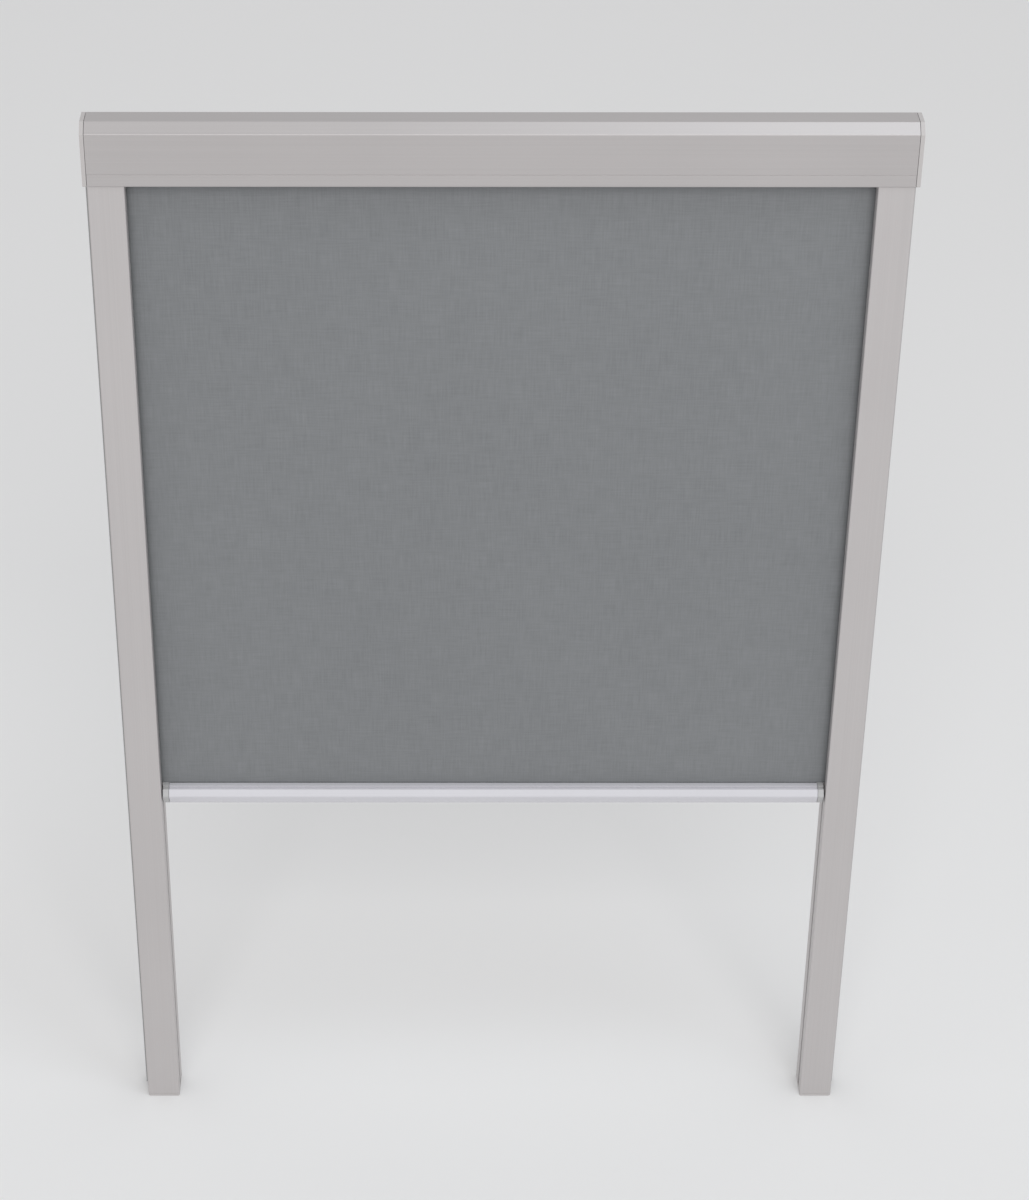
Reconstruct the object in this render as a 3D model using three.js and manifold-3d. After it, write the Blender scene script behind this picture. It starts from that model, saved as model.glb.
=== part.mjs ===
// Blackout roller blind for a roof window, in millimetres.
// X runs across the blind, Z up and Y from the room (negative) towards the glass. Heights are measured down
// from the top of the cassette until the last lines, which put the origin in the middle of its flat back.

import * as THREE from "three";
import { mergeVertices } from "three/addons/utils/BufferGeometryUtils.js";
import Module from "manifold-3d";

const wasm = await Module();
wasm.setup();

// Clearances that several pieces share
const SEAT_GAP = 0.3; // between pieces that are pushed or screwed together
const GLUE_LINE = 0.05; // under a strip that is stuck on
const RUNNING_GAP = 0.08; // round a shaft that turns in its bush
const OVERRUN = 1; // how far a cut reaches past the face it starts from
const EMBED = 0.4; // how far a rib is sunk into the wall it grows from

// Cloth
const FABRIC_THICKNESS = 0.36;
const SPARE_FABRIC = 125; // stays on the roller when the blind is shut
const BAR_DROP = 544; // from the cassette's underside to the top of the bar, as in the photograph

// Roller
const TUBE_RADIUS = 12.5;
const TUBE_WALL = 1.2;
const TUBE_END_GAP = 13.5; // from the cassette's end to the end of the tube

// Cassette
const CASSETTE_WIDTH = 611;
const CASSETTE_WALL = 1.4;
const FACE_CHAMFER = 7.3;
const TOP_STRIP_DEPTH = 17.3;
const BEVEL_ANGLE = THREE.MathUtils.degToRad(35);
const ROLL_CLEARANCE = 1.6; // between the full roll and the back or the bevel
const FLOOR_CLEARANCE = 2.95; // between the full roll and the floor
const FRONT_SPACE = 12; // between the full roll and the front face
const LAP_LENGTH = 7.4; // how far the base's tongue reaches under the cover
const LAP_BACK_GAP = 0.8;
const HOOK_THICKNESS = 1.1;
const HOOK_TOE = 1.6;
const COVER_EDGE_RADIUS = 1;
const GROOVE_RISE = 9.6; // from the underside to the groove in the face
const GROOVE_WIDTH = 0.9;
const GROOVE_DEPTH = 0.6;
const LIP_SETBACK = 0.25;
const UPTURN = 4.1; // height of the flanges beside the cloth's way out
const EXIT_SPACE = 6; // from the cloth back to the base's flange
const EXIT_SEAL_DEPTH = 3.3;
const EXIT_SEAL_CLEARANCE = 0.6; // from the pile to the cloth
const EXIT_SEAL_BACKING = 1;
const PORT_BORE = 1.6; // radius of the screw ports
const PORT_WALL = 1.3;
const PORT_OFFSET = 1.9; // from the wall's inner face to the middle of a port
const GASKET_WIDTH = 10;
const GASKET_THICKNESS = 2.5;
const GASKET_RISE = 2.5;

// End caps, their screws and the brackets they hang on
const CAP_FLANGE = 3;
const CAP_RIB = 1.6;
const CAP_RIB_LENGTH = 8;
const BOSS_RADIUS = 8;
const BOSS_LENGTH = 6;
const SHAFT_SQUARE = 6;
const SOCKET_FLOOR = 0.5; // how far the socket goes on into the flange
const CAP_SCREW_RADIUS = 1.35;
const CAP_SCREW_LENGTH = 12;
const CAP_SCREW_HEAD_RADIUS = 2.8;
const CAP_SCREW_HEAD = 1.4;
const CAP_HOLE_RADIUS = 1.9;
const RECESS_WIDTH = 0.7;
const RECESS_DEPTH = 0.8;
const DOME_RADIUS_SHARE = 0.7; // of the head's radius, where the dome starts
const DOME_HEIGHT_SHARE = 0.5; // of the head's height
const BRACKET_THICKNESS = 1.5;
const BRACKET_STAND_OUT = 0.4; // how far the plate stands proud of the cap
const BRACKET_WIDTH = 20;
const BRACKET_HEIGHT = 37;
const BRACKET_DROP = 5; // from the top of the cassette to the top of the bracket
const BRACKET_SETBACK = 10.5; // from the front face to the bracket
const BRACKET_RADIUS = 2;
const TONGUE_WIDTH = 12;
const TONGUE_REACH = 12;
const BRACKET_HOLE_RADIUS = 2.2;
const BRACKET_HOLE_INSET = 7;
const DRIVER_HOLE_RADIUS = 4.4;

// Spring motor in the left end of the roller
const SHAFT_RADIUS = 4;
const SHAFT_COLLAR_RADIUS = 6;
const SHAFT_COLLAR = 1.3;
const BUSH_FLANGE = 1.5;
const BUSH_LENGTH = 13;
const SPRING_WIRE = 1.4;
const SPRING_RADIUS = 7; // to the middle of the wire
const SPRING_PITCH = 6;
const SPRING_CURLS = 24;
const SPRING_PLATE = 1.5;
const SPRING_PLUG_LENGTH = 15;
const PLUG_BORE_DEPTH = 10;
const PIN_RADIUS = 3;
const PIN_LENGTH = 20;

// Side rails
const RAIL_INSET = 3; // from the cassette's end to the rail's outer face
const RAIL_SETBACK = 1.5; // from the cassette's face back to the rail's face
const RAIL_LENGTH = 875.3;
const RAIL_WALL = 1.4;
const RAIL_REAR = 12.7; // from the guide flange to the back of the rail
const RAIL_OUTER_RADIUS = 2;
const RAIL_INNER_RADIUS = 1.2;
const GUIDE_START = 6; // from the outer face to the free edge of the guide flanges
const CLIP_LENGTH = 2;
const RAIL_LIP = 2.2; // how far the rail's cover wraps round its outer edge
const RAIL_HOLE_RADIUS = 2;
const COUNTERSINK_RADIUS = 3.4;
const RAIL_HOLE_SHARES = [0.06, 0.5, 0.94]; // of the rail's length
const PILE_WIDTH = 6;
const PILE_INSET = 1; // from the rail's inner face to the pile
const PILE_GAP = 2.2; // between the two piles, for the cloth and the neck
const TAPE_WIDTH = 10;
const TAPE_INSET = 1.5;
const FOOT_THICKNESS = 2;
const FOOT_PLUG = 10;

// Bottom bar
const BAR_HEIGHT = 16;
const BAR_FRONT_SETBACK = 0.5; // from the rail's face back to the nose
const BAR_REAR = 6.6; // from the cloth to the back of the bar
const NOSE_DEPTH = 3.6;
const NOSE_DROP = 6.5; // from the top to the ridge of the nose
const NOSE_RADIUS = 2;
const NOSE_UNDERCUT = 5;
const FINGER_GROOVE_WIDTH = 3;
const FINGER_GROOVE_DEPTH = 2.6;
const BAR_WALL = 1.3;
const HEM_SLOT = 1.2;
const HEM_CHANNEL_RADIUS = 2.1;
const HEM_CHANNEL_DROP = 3.9;
const SPLINE_RADIUS = 1.7;
const FABRIC_TAIL = 1.9; // how far the cloth reaches into the bar's slot
const BAR_SEAL_WIDTH = 6;
const BAR_SEAL_SEAT = 1.2;
const BAR_SEAL_DROP = 1.5;
const BAR_CAP_THICKNESS = 4.7;
const BAR_CAP_PLUG = 12;
const BAR_SIDE_GAP = 1.2; // from the bar's cap to the rail

// Glides and brakes in the rails
const SLIDER_THICKNESS = 5.4;
const SLIDER_WIDTH = 13;
const SLIDER_RISE = 4; // above the top of the bar
const FABRIC_IN_RAIL = 9;
const SLIDER_TO_FABRIC = 2.5;
const NECK_THICKNESS = 1.6;
const NECK_HEIGHT = 4.6;
const NECK_INSERT = 11;
const BAR_SCREW_RADIUS = 1.2;
const BAR_SCREW_LENGTH = 5;
const BAR_SCREW_HEAD_RADIUS = 2.4;
const BAR_SCREW_HEAD = 1.2;
const BAR_SCREW_INSET = 6; // from the end of the bar to the screw
const SHOE_DEPTH = 5.5;
const SHOE_HEIGHT = 7.6;
const SHOE_TRAVEL = 1.2;
const POCKET_WALL = 0.8;
const BRAKE_WIRE = 0.5;
const BRAKE_SPRING_RADIUS = 1.15; // to the middle of the wire
const BRAKE_CURLS = 4;

// Places worked out from the sizes above
const SIDES = { left: -1, right: 1 };
const cassetteEnd = CASSETTE_WIDTH / 2;
const profileEnd = cassetteEnd - CAP_FLANGE - SEAT_GAP;
const fabricLength = RAIL_LENGTH + SPARE_FABRIC;
const rollInner = TUBE_RADIUS + GLUE_LINE;
const rollRadius = (length) => Math.sqrt(rollInner ** 2 + (FABRIC_THICKNESS * length) / Math.PI);
const fullRoll = rollRadius(fabricLength);
const lapStep = CASSETTE_WALL + SEAT_GAP;
const rollerY = -(CASSETTE_WALL + ROLL_CLEARANCE + fullRoll);
const frontY = rollerY - fullRoll - FRONT_SPACE;
const coverBackY = frontY + FACE_CHAMFER + TOP_STRIP_DEPTH;
const lapBackY = coverBackY + LAP_BACK_GAP;
const bevelAlong = Math.cos(BEVEL_ANGLE);
const bevelUp = Math.sin(BEVEL_ANGLE);
const bevelFoot = bevelUp * lapBackY - bevelAlong * lapStep;
const rollerZ = (bevelFoot - fullRoll - ROLL_CLEARANCE - CASSETTE_WALL - bevelUp * rollerY) / bevelAlong;
const bottomZ = rollerZ - fullRoll - FLOOR_CLEARANCE - CASSETTE_WALL;
const backTopZ = -lapStep + lapBackY * Math.tan(BEVEL_ANGLE);
const barTopZ = bottomZ - BAR_DROP;
const hangLength = rollerZ - barTopZ;
const restRoll = rollRadius(fabricLength - hangLength);
const fabricBackY = rollerY - restRoll - SEAT_GAP;
const fabricFrontY = fabricBackY - FABRIC_THICKNESS;
const fabricY = (fabricBackY + fabricFrontY) / 2;
const coverReturnY = fabricFrontY - EXIT_SEAL_CLEARANCE - EXIT_SEAL_DEPTH - GLUE_LINE;
const floorFrontY = fabricBackY + EXIT_SPACE;
const grooveZ = bottomZ + GROOVE_RISE;
const chamfer45 = (CASSETTE_WALL + PORT_OFFSET) / Math.SQRT2;
const coverPort = [frontY + FACE_CHAMFER / 2 + chamfer45, -FACE_CHAMFER / 2 - chamfer45];
const basePort = [-CASSETTE_WALL - PORT_OFFSET, bottomZ + CASSETTE_WALL + PORT_OFFSET];

const railOuter = cassetteEnd - RAIL_INSET;
const sliderOuterInset = RAIL_WALL + SEAT_GAP + SHOE_TRAVEL;
const railWidth = sliderOuterInset + SLIDER_WIDTH + SLIDER_TO_FABRIC + FABRIC_IN_RAIL;
const railInner = railOuter - railWidth;
const railFrontY = frontY + RAIL_SETBACK;
const guideHalf = SLIDER_THICKNESS / 2 + SEAT_GAP;
const guideFrontY = fabricY - guideHalf;
const guideBackY = fabricY + guideHalf;
const railBackY = guideBackY + RAIL_REAR;
const railTopZ = bottomZ - SEAT_GAP;
const railBottomZ = railTopZ - RAIL_LENGTH;
const footTopZ = railBottomZ - SEAT_GAP;
const footBottomZ = footTopZ - FOOT_THICKNESS;
const channelEdgeY = railFrontY + RAIL_LIP + SEAT_GAP;
const pocketHalf = SLIDER_THICKNESS / 2 - POCKET_WALL;
const shoeHalf = pocketHalf - SEAT_GAP / 2;
const screwRowY = (channelEdgeY + fabricY - shoeHalf) / 2;

const barFrontY = railFrontY + BAR_FRONT_SETBACK;
const barBackY = fabricY + BAR_REAR;
const fingerFrontY = barFrontY + NOSE_DEPTH;
const fingerBackY = fingerFrontY + FINGER_GROOVE_WIDTH;
const barBottomZ = barTopZ - BAR_HEIGHT;
const barCapOuter = railInner - BAR_SIDE_GAP;
const barCapInner = barCapOuter - BAR_CAP_THICKNESS;
const barEnd = barCapInner - SEAT_GAP;
const fabricEdge = railInner + FABRIC_IN_RAIL;
const sliderInner = fabricEdge + SLIDER_TO_FABRIC;
const sliderOuter = sliderInner + SLIDER_WIDTH;
const chamberTopZ = barTopZ - HEM_CHANNEL_DROP - HEM_CHANNEL_RADIUS - BAR_WALL;
const chamberBottomZ = barBottomZ + BAR_WALL + BAR_SEAL_SEAT;
const neckMiddleZ = (chamberTopZ + chamberBottomZ) / 2;
const sliderMiddleZ = barTopZ + (SLIDER_RISE - BAR_HEIGHT) / 2;
const shoeOuter = railOuter - RAIL_WALL - SEAT_GAP;
const shoeInner = shoeOuter - SHOE_DEPTH;
const brakeSpringLength = BRAKE_CURLS * (2 * BRAKE_WIRE + 0.3 * BRAKE_WIRE);
const pocketFloor = shoeInner - SEAT_GAP * 2 - brakeSpringLength;

// Finishes
const finish = (color, roughness, metalness) =>
  new THREE.MeshStandardMaterial({ color, roughness, metalness });
const ALUMINIUM = finish(0xb9b5b4, 0.42, 0.6);
const ROLLER_ALUMINIUM = finish(0xa9abad, 0.5, 0.8);
const STEEL = finish(0x8d9094, 0.35, 0.9);
const CAP_PLASTIC = finish(0xb3b0b0, 0.55, 0);
const DARK_PLASTIC = finish(0x8b8c90, 0.6, 0);
const WHITE_PLASTIC = finish(0xe4e4e0, 0.5, 0);
const FABRIC = finish(0x7a7b7f, 0.95, 0);
const PILE = finish(0x5d5e61, 1, 0);
const FOAM = finish(0x4a4a4c, 0.95, 0);

const blind = new THREE.Group();

function add(name, geometry, material) {
  const mesh = new THREE.Mesh(geometry, material);
  mesh.name = name;
  blind.add(mesh);
}

// Sections

const ARC_STEPS = 4; // in each rounded corner
const point = ([a, b]) => new THREE.Vector2(a, b);

// Corners are [a, b] or [a, b, radius]. A radius makes an arc, as large as half of its sides allows.
function rounded(corners, closed = true) {
  return corners.flatMap((corner, i) => {
    const here = point(corner);
    const radius = corner[2] ?? 0;
    const atEnd = !closed && (i === 0 || i === corners.length - 1);
    if (radius === 0 || atEnd) return [here];
    const before = point(corners.at(i - 1)).sub(here);
    const after = point(corners[(i + 1) % corners.length]).sub(here);
    const halfAngle = before.angleTo(after) / 2;
    const reach = Math.min(radius / Math.tan(halfAngle), before.length() / 2, after.length() / 2);
    const arcRadius = reach * Math.tan(halfAngle);
    const towards = before.clone().normalize().add(after.clone().normalize()).normalize();
    const centre = here.clone().addScaledVector(towards, arcRadius / Math.sin(halfAngle));
    const start = here.clone().addScaledVector(before.normalize(), reach).sub(centre).angle();
    const end = here.clone().addScaledVector(after.normalize(), reach).sub(centre).angle();
    const sweep = Math.atan2(Math.sin(end - start), Math.cos(end - start));
    return Array.from({ length: ARC_STEPS + 1 }, (_, k) => {
      const angle = start + (sweep * k) / ARC_STEPS;
      return new THREE.Vector2(Math.cos(angle), Math.sin(angle)).multiplyScalar(arcRadius).add(centre);
    });
  });
}

// The section of a sheet that follows a line of corners, with its thickness on the left of the line.
function wall(line, thickness) {
  const points = line.map(point);
  const directions = points.slice(1).map((p, i) => p.clone().sub(points[i]).normalize());
  const inner = line.map(([a, b, radius = 0], i) => {
    const before = directions[Math.max(i - 1, 0)];
    const after = directions[Math.min(i, directions.length - 1)];
    const sum = new THREE.Vector2(-before.y - after.y, before.x + after.x);
    const mitre = sum.multiplyScalar(thickness / (1 + before.dot(after)));
    const turnsLeft = before.cross(after) > 0;
    const innerRadius = turnsLeft ? Math.max(radius - thickness, 0) : radius + thickness;
    return [a + mitre.x, b + mitre.y, radius === 0 ? 0 : innerRadius];
  });
  return [...rounded(line, false), ...rounded(inner.reverse(), false)];
}

function circle([a, b], radius, sides = 16) {
  return Array.from({ length: sides }, (_, k) => {
    const angle = (2 * Math.PI * k) / sides;
    return new THREE.Vector2(a + radius * Math.cos(angle), b + radius * Math.sin(angle));
  });
}

const grown = ([low, high], by) => [low - by, high + by];
const across = (side, from, to) => [side * from, side * to];
const rectangle = ([a0, a1], [b0, b1], radius = 0) =>
  rounded([[a0, b0, radius], [a1, b0, radius], [a1, b1, radius], [a0, b1, radius]]);

// A screw port: a ring that is open towards one direction.
function portSection([a, b], towards) {
  const steps = 10;
  const halfMouth = Math.PI / 5;
  const ring = (radius) =>
    Array.from({ length: steps + 1 }, (_, k) => {
      const angle = towards + halfMouth + ((2 * Math.PI - 2 * halfMouth) * k) / steps;
      return new THREE.Vector2(a + radius * Math.cos(angle), b + radius * Math.sin(angle));
    });
  return [...ring(PORT_BORE + PORT_WALL), ...ring(PORT_BORE).reverse()];
}

// Solids

const ALONG_X = new THREE.Matrix4().makeBasis(
  new THREE.Vector3(0, 1, 0),
  new THREE.Vector3(0, 0, 1),
  new THREE.Vector3(1, 0, 0),
);

function extruded(section, [from, to], holes = []) {
  const shape = new THREE.Shape(section);
  shape.holes = holes.map((hole) => new THREE.Path(hole));
  const low = Math.min(from, to);
  const depth = Math.abs(to - from);
  return new THREE.ExtrudeGeometry(shape, { depth, bevelEnabled: false }).translate(0, 0, low);
}

// A section in Y and Z, drawn out along X.
const alongX = (section, span, holes) => extruded(section, span, holes).applyMatrix4(ALONG_X);

// A section in X and Y, drawn out along Z.
const alongZ = (section, span, holes) => extruded(section, span, holes);

const block = (xSpan, ySpan, zSpan) => alongX(rectangle(ySpan, zSpan), xSpan);

// A profile of [radius, x] turned round an axis along X through the point (y, z).
function turned(profile, [y, z], sides = 24) {
  const points = profile.map(([radius, x]) => new THREE.Vector2(radius, x));
  return new THREE.LatheGeometry(points, sides).rotateZ(-Math.PI / 2).translate(0, y, z);
}

// A solid bar or a sleeve, between two places on X.
function sleeve(outer, bore, [from, to], centre, sides) {
  const [low, high] = [Math.min(from, to), Math.max(from, to)];
  const ring = [[bore, low], [outer, low], [outer, high], [bore, high]];
  return turned(bore > 0 ? [...ring, ring[0]] : ring, centre, sides);
}

function solidOf(geometry) {
  const bare = geometry.clone();
  bare.deleteAttribute("normal");
  bare.deleteAttribute("uv");
  const merged = mergeVertices(bare);
  const vertProperties = merged.attributes.position.array;
  const triVerts = new Uint32Array(merged.index.array);
  return new wasm.Manifold(new wasm.Mesh({ numProp: 3, vertProperties, triVerts }));
}

function geometryOf(solid) {
  const { vertProperties, triVerts } = solid.getMesh();
  return new THREE.BufferGeometry()
    .setAttribute("position", new THREE.BufferAttribute(vertProperties, 3))
    .setIndex(new THREE.BufferAttribute(triVerts, 1));
}

const joined = (first, ...others) =>
  geometryOf(others.reduce((all, other) => all.add(solidOf(other)), solidOf(first)));
const cut = (body, ...tools) =>
  geometryOf(tools.reduce((rest, tool) => rest.subtract(solidOf(tool)), solidOf(body)));

// A self-tapping screw with a cross recess in its domed head, whose face is at 0. It points along +X.
function screw(radius, length, headRadius, head) {
  const domed = turned(
    [
      [0, 0],
      [DOME_RADIUS_SHARE * headRadius, 0],
      [headRadius, DOME_HEIGHT_SHARE * head],
      [headRadius, head],
      [radius, head],
      [radius, head + length - radius],
      [0, head + length],
    ],
    [0, 0],
    12,
  );
  const recess = [-OVERRUN, RECESS_DEPTH];
  const arm = grown([0, 0], headRadius / 2);
  const slot = grown([0, 0], RECESS_WIDTH / 2);
  return cut(domed, block(recess, arm, slot), block(recess, slot, arm));
}

// A coil spring along X: one unbroken tube of round wire with flat ends.
function coil({ name, wire, radius, pitch, curls, start, centre: [y, z] }) {
  const steps = 8;
  const sides = 5;
  const rings = [];
  for (let k = 0; k <= steps * curls; k += 1) {
    const angle = (2 * Math.PI * k) / steps;
    const out = new THREE.Vector3(0, Math.cos(angle), Math.sin(angle));
    const middle = new THREE.Vector3(start + (pitch * k) / steps, y, z).addScaledVector(out, radius);
    const alongWire = new THREE.Vector3(pitch / (2 * Math.PI * radius), -out.z, out.y).normalize();
    const side = new THREE.Vector3().crossVectors(alongWire, out);
    rings.push(
      Array.from({ length: sides }, (_, s) => {
        const turn = (2 * Math.PI * s) / sides;
        const offset = out.clone().multiplyScalar(Math.cos(turn)).addScaledVector(side, Math.sin(turn));
        return middle.clone().addScaledVector(offset, wire / 2);
      }),
    );
  }
  const index = [];
  for (let k = 0; k + 1 < rings.length; k += 1) {
    for (let s = 0; s < sides; s += 1) {
      const [a, b] = [k * sides + s, k * sides + ((s + 1) % sides)];
      index.push(a, b, a + sides, b, b + sides, a + sides);
    }
  }
  const last = (rings.length - 1) * sides;
  for (let s = 1; s + 1 < sides; s += 1) {
    index.push(0, s + 1, s, last, last + s, last + s + 1);
  }
  const gaps = rings
    .slice(steps)
    .flatMap((ring, k) => ring.flatMap((p) => rings[k].map((q) => p.distanceTo(q))));
  console.log(`${name}: least gap between turns ${Math.min(...gaps).toFixed(2)} mm`);
  return new THREE.BufferGeometry().setFromPoints(rings.flat()).setIndex(index);
}

// Cassette cover: one extrusion with the top strip, the chamfer, the face, the lip and the return under it.
// It laps over the base at the top and hooks under the base's tongue. A rib backs the groove.
const coverSection = wall(
  [
    [coverBackY, 0],
    [frontY + FACE_CHAMFER, 0, COVER_EDGE_RADIUS],
    [frontY, -FACE_CHAMFER, COVER_EDGE_RADIUS],
    [frontY, grooveZ],
    [frontY + LIP_SETBACK, grooveZ],
    [frontY, bottomZ, COVER_EDGE_RADIUS],
    [coverReturnY, bottomZ],
    [coverReturnY, bottomZ + UPTURN],
  ],
  CASSETTE_WALL,
);
const hookY = lapBackY - LAP_LENGTH - SEAT_GAP;
const hookBottomZ = -lapStep - CASSETTE_WALL - SEAT_GAP - HOOK_THICKNESS;
const hookSection = [
  [hookY - HOOK_THICKNESS, -CASSETTE_WALL + EMBED],
  [hookY, -CASSETTE_WALL + EMBED],
  [hookY, hookBottomZ + HOOK_THICKNESS],
  [hookY + HOOK_TOE, hookBottomZ + HOOK_THICKNESS],
  [hookY + HOOK_TOE, hookBottomZ],
  [hookY - HOOK_THICKNESS, hookBottomZ],
].map(point);
const grooveTool = [
  [frontY - OVERRUN, grooveZ + GROOVE_WIDTH / 2],
  [frontY + GROOVE_DEPTH, grooveZ + GROOVE_WIDTH / 4],
  [frontY + GROOVE_DEPTH, grooveZ - GROOVE_WIDTH / 4],
  [frontY - OVERRUN, grooveZ - GROOVE_WIDTH / 2],
].map(point);
const profileSpan = [-profileEnd, profileEnd];
const cutSpan = [-profileEnd - OVERRUN, profileEnd + OVERRUN];
const grooveRibY = [frontY + CASSETTE_WALL - EMBED, frontY + CASSETTE_WALL + GROOVE_DEPTH];
const grooveRibZ = [grooveZ - 2 * GROOVE_WIDTH, grooveZ + 2 * GROOVE_WIDTH];
add(
  "cassette_cover",
  cut(
    joined(
      alongX(coverSection, profileSpan),
      alongX(hookSection, profileSpan),
      alongX(rectangle(grooveRibY, grooveRibZ), profileSpan),
      alongX(portSection(coverPort, -Math.PI / 4), profileSpan),
    ),
    alongX(grooveTool, cutSpan),
  ),
  ALUMINIUM,
);

// Cassette base: one extrusion with the floor behind the cloth, the back, the bevel and the tongue.
const baseSection = wall(
  [
    [floorFrontY, bottomZ + UPTURN],
    [floorFrontY, bottomZ],
    [0, bottomZ, COVER_EDGE_RADIUS],
    [0, backTopZ, COVER_EDGE_RADIUS],
    [lapBackY, -lapStep],
    [lapBackY - LAP_LENGTH, -lapStep],
  ],
  CASSETTE_WALL,
);
add(
  "cassette_base",
  joined(alongX(baseSection, profileSpan), alongX(portSection(basePort, (3 * Math.PI) / 4), profileSpan)),
  ALUMINIUM,
);

// Foam gasket on the lower part of the bevel.
const onBevel = (along, out) =>
  point([-along * bevelAlong + out * bevelUp, backTopZ + along * bevelUp + out * bevelAlong]);
add(
  "cassette_gasket",
  alongX(
    [
      onBevel(GASKET_RISE, GLUE_LINE),
      onBevel(GASKET_RISE, GASKET_THICKNESS),
      onBevel(GASKET_RISE + GASKET_WIDTH, GASKET_THICKNESS),
      onBevel(GASKET_RISE + GASKET_WIDTH, GLUE_LINE),
    ],
    profileSpan,
  ),
  FOAM,
);

// Pile strip on the cover's flange, beside the cloth's way out.
const sealBackY = coverReturnY + GLUE_LINE;
const sealSection = [
  [sealBackY, bottomZ + UPTURN],
  [sealBackY, bottomZ],
  [sealBackY + EXIT_SEAL_BACKING, bottomZ],
  [sealBackY + EXIT_SEAL_BACKING, bottomZ + UPTURN / 4],
  [sealBackY + EXIT_SEAL_DEPTH, bottomZ + UPTURN / 4],
  [sealBackY + EXIT_SEAL_DEPTH, bottomZ + (3 * UPTURN) / 4],
  [sealBackY + EXIT_SEAL_BACKING, bottomZ + (3 * UPTURN) / 4],
  [sealBackY + EXIT_SEAL_BACKING, bottomZ + UPTURN],
].map(point);
add("exit_seal", alongX(sealSection, profileSpan), PILE);

// End caps: a flange with the cassette's outline, two ribs that go inside it, and a boss for the roller.
const rollerAxis = [rollerY, rollerZ];
const capOutline = rounded([
  [frontY, bottomZ, COVER_EDGE_RADIUS],
  [frontY, -FACE_CHAMFER, COVER_EDGE_RADIUS],
  [frontY + FACE_CHAMFER, 0, COVER_EDGE_RADIUS],
  [coverBackY, 0, COVER_EDGE_RADIUS],
  [0, backTopZ, COVER_EDGE_RADIUS],
  [0, bottomZ, COVER_EDGE_RADIUS],
]);
const portReach = PORT_BORE + PORT_WALL + SEAT_GAP;
const ribInside = CASSETTE_WALL + SEAT_GAP;
const bracketFrontY = frontY + BRACKET_SETBACK;
const bracketBackY = bracketFrontY + BRACKET_WIDTH;
const bracketTopZ = -BRACKET_DROP;
const bracketBottomZ = bracketTopZ - BRACKET_HEIGHT;
const tongueSpanY = [bracketFrontY, bracketFrontY + TONGUE_WIDTH];
const bracketHoles = [bracketTopZ - BRACKET_HOLE_INSET, bracketBottomZ + BRACKET_HOLE_INSET].map((z) => [
  bracketFrontY + BRACKET_HOLE_INSET,
  z,
]);
const flangeInner = cassetteEnd - CAP_FLANGE;
const bracketOuter = cassetteEnd + BRACKET_STAND_OUT;
const bracketInner = bracketOuter - BRACKET_THICKNESS;
const pocketDepthX = bracketInner - SEAT_GAP;

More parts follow.
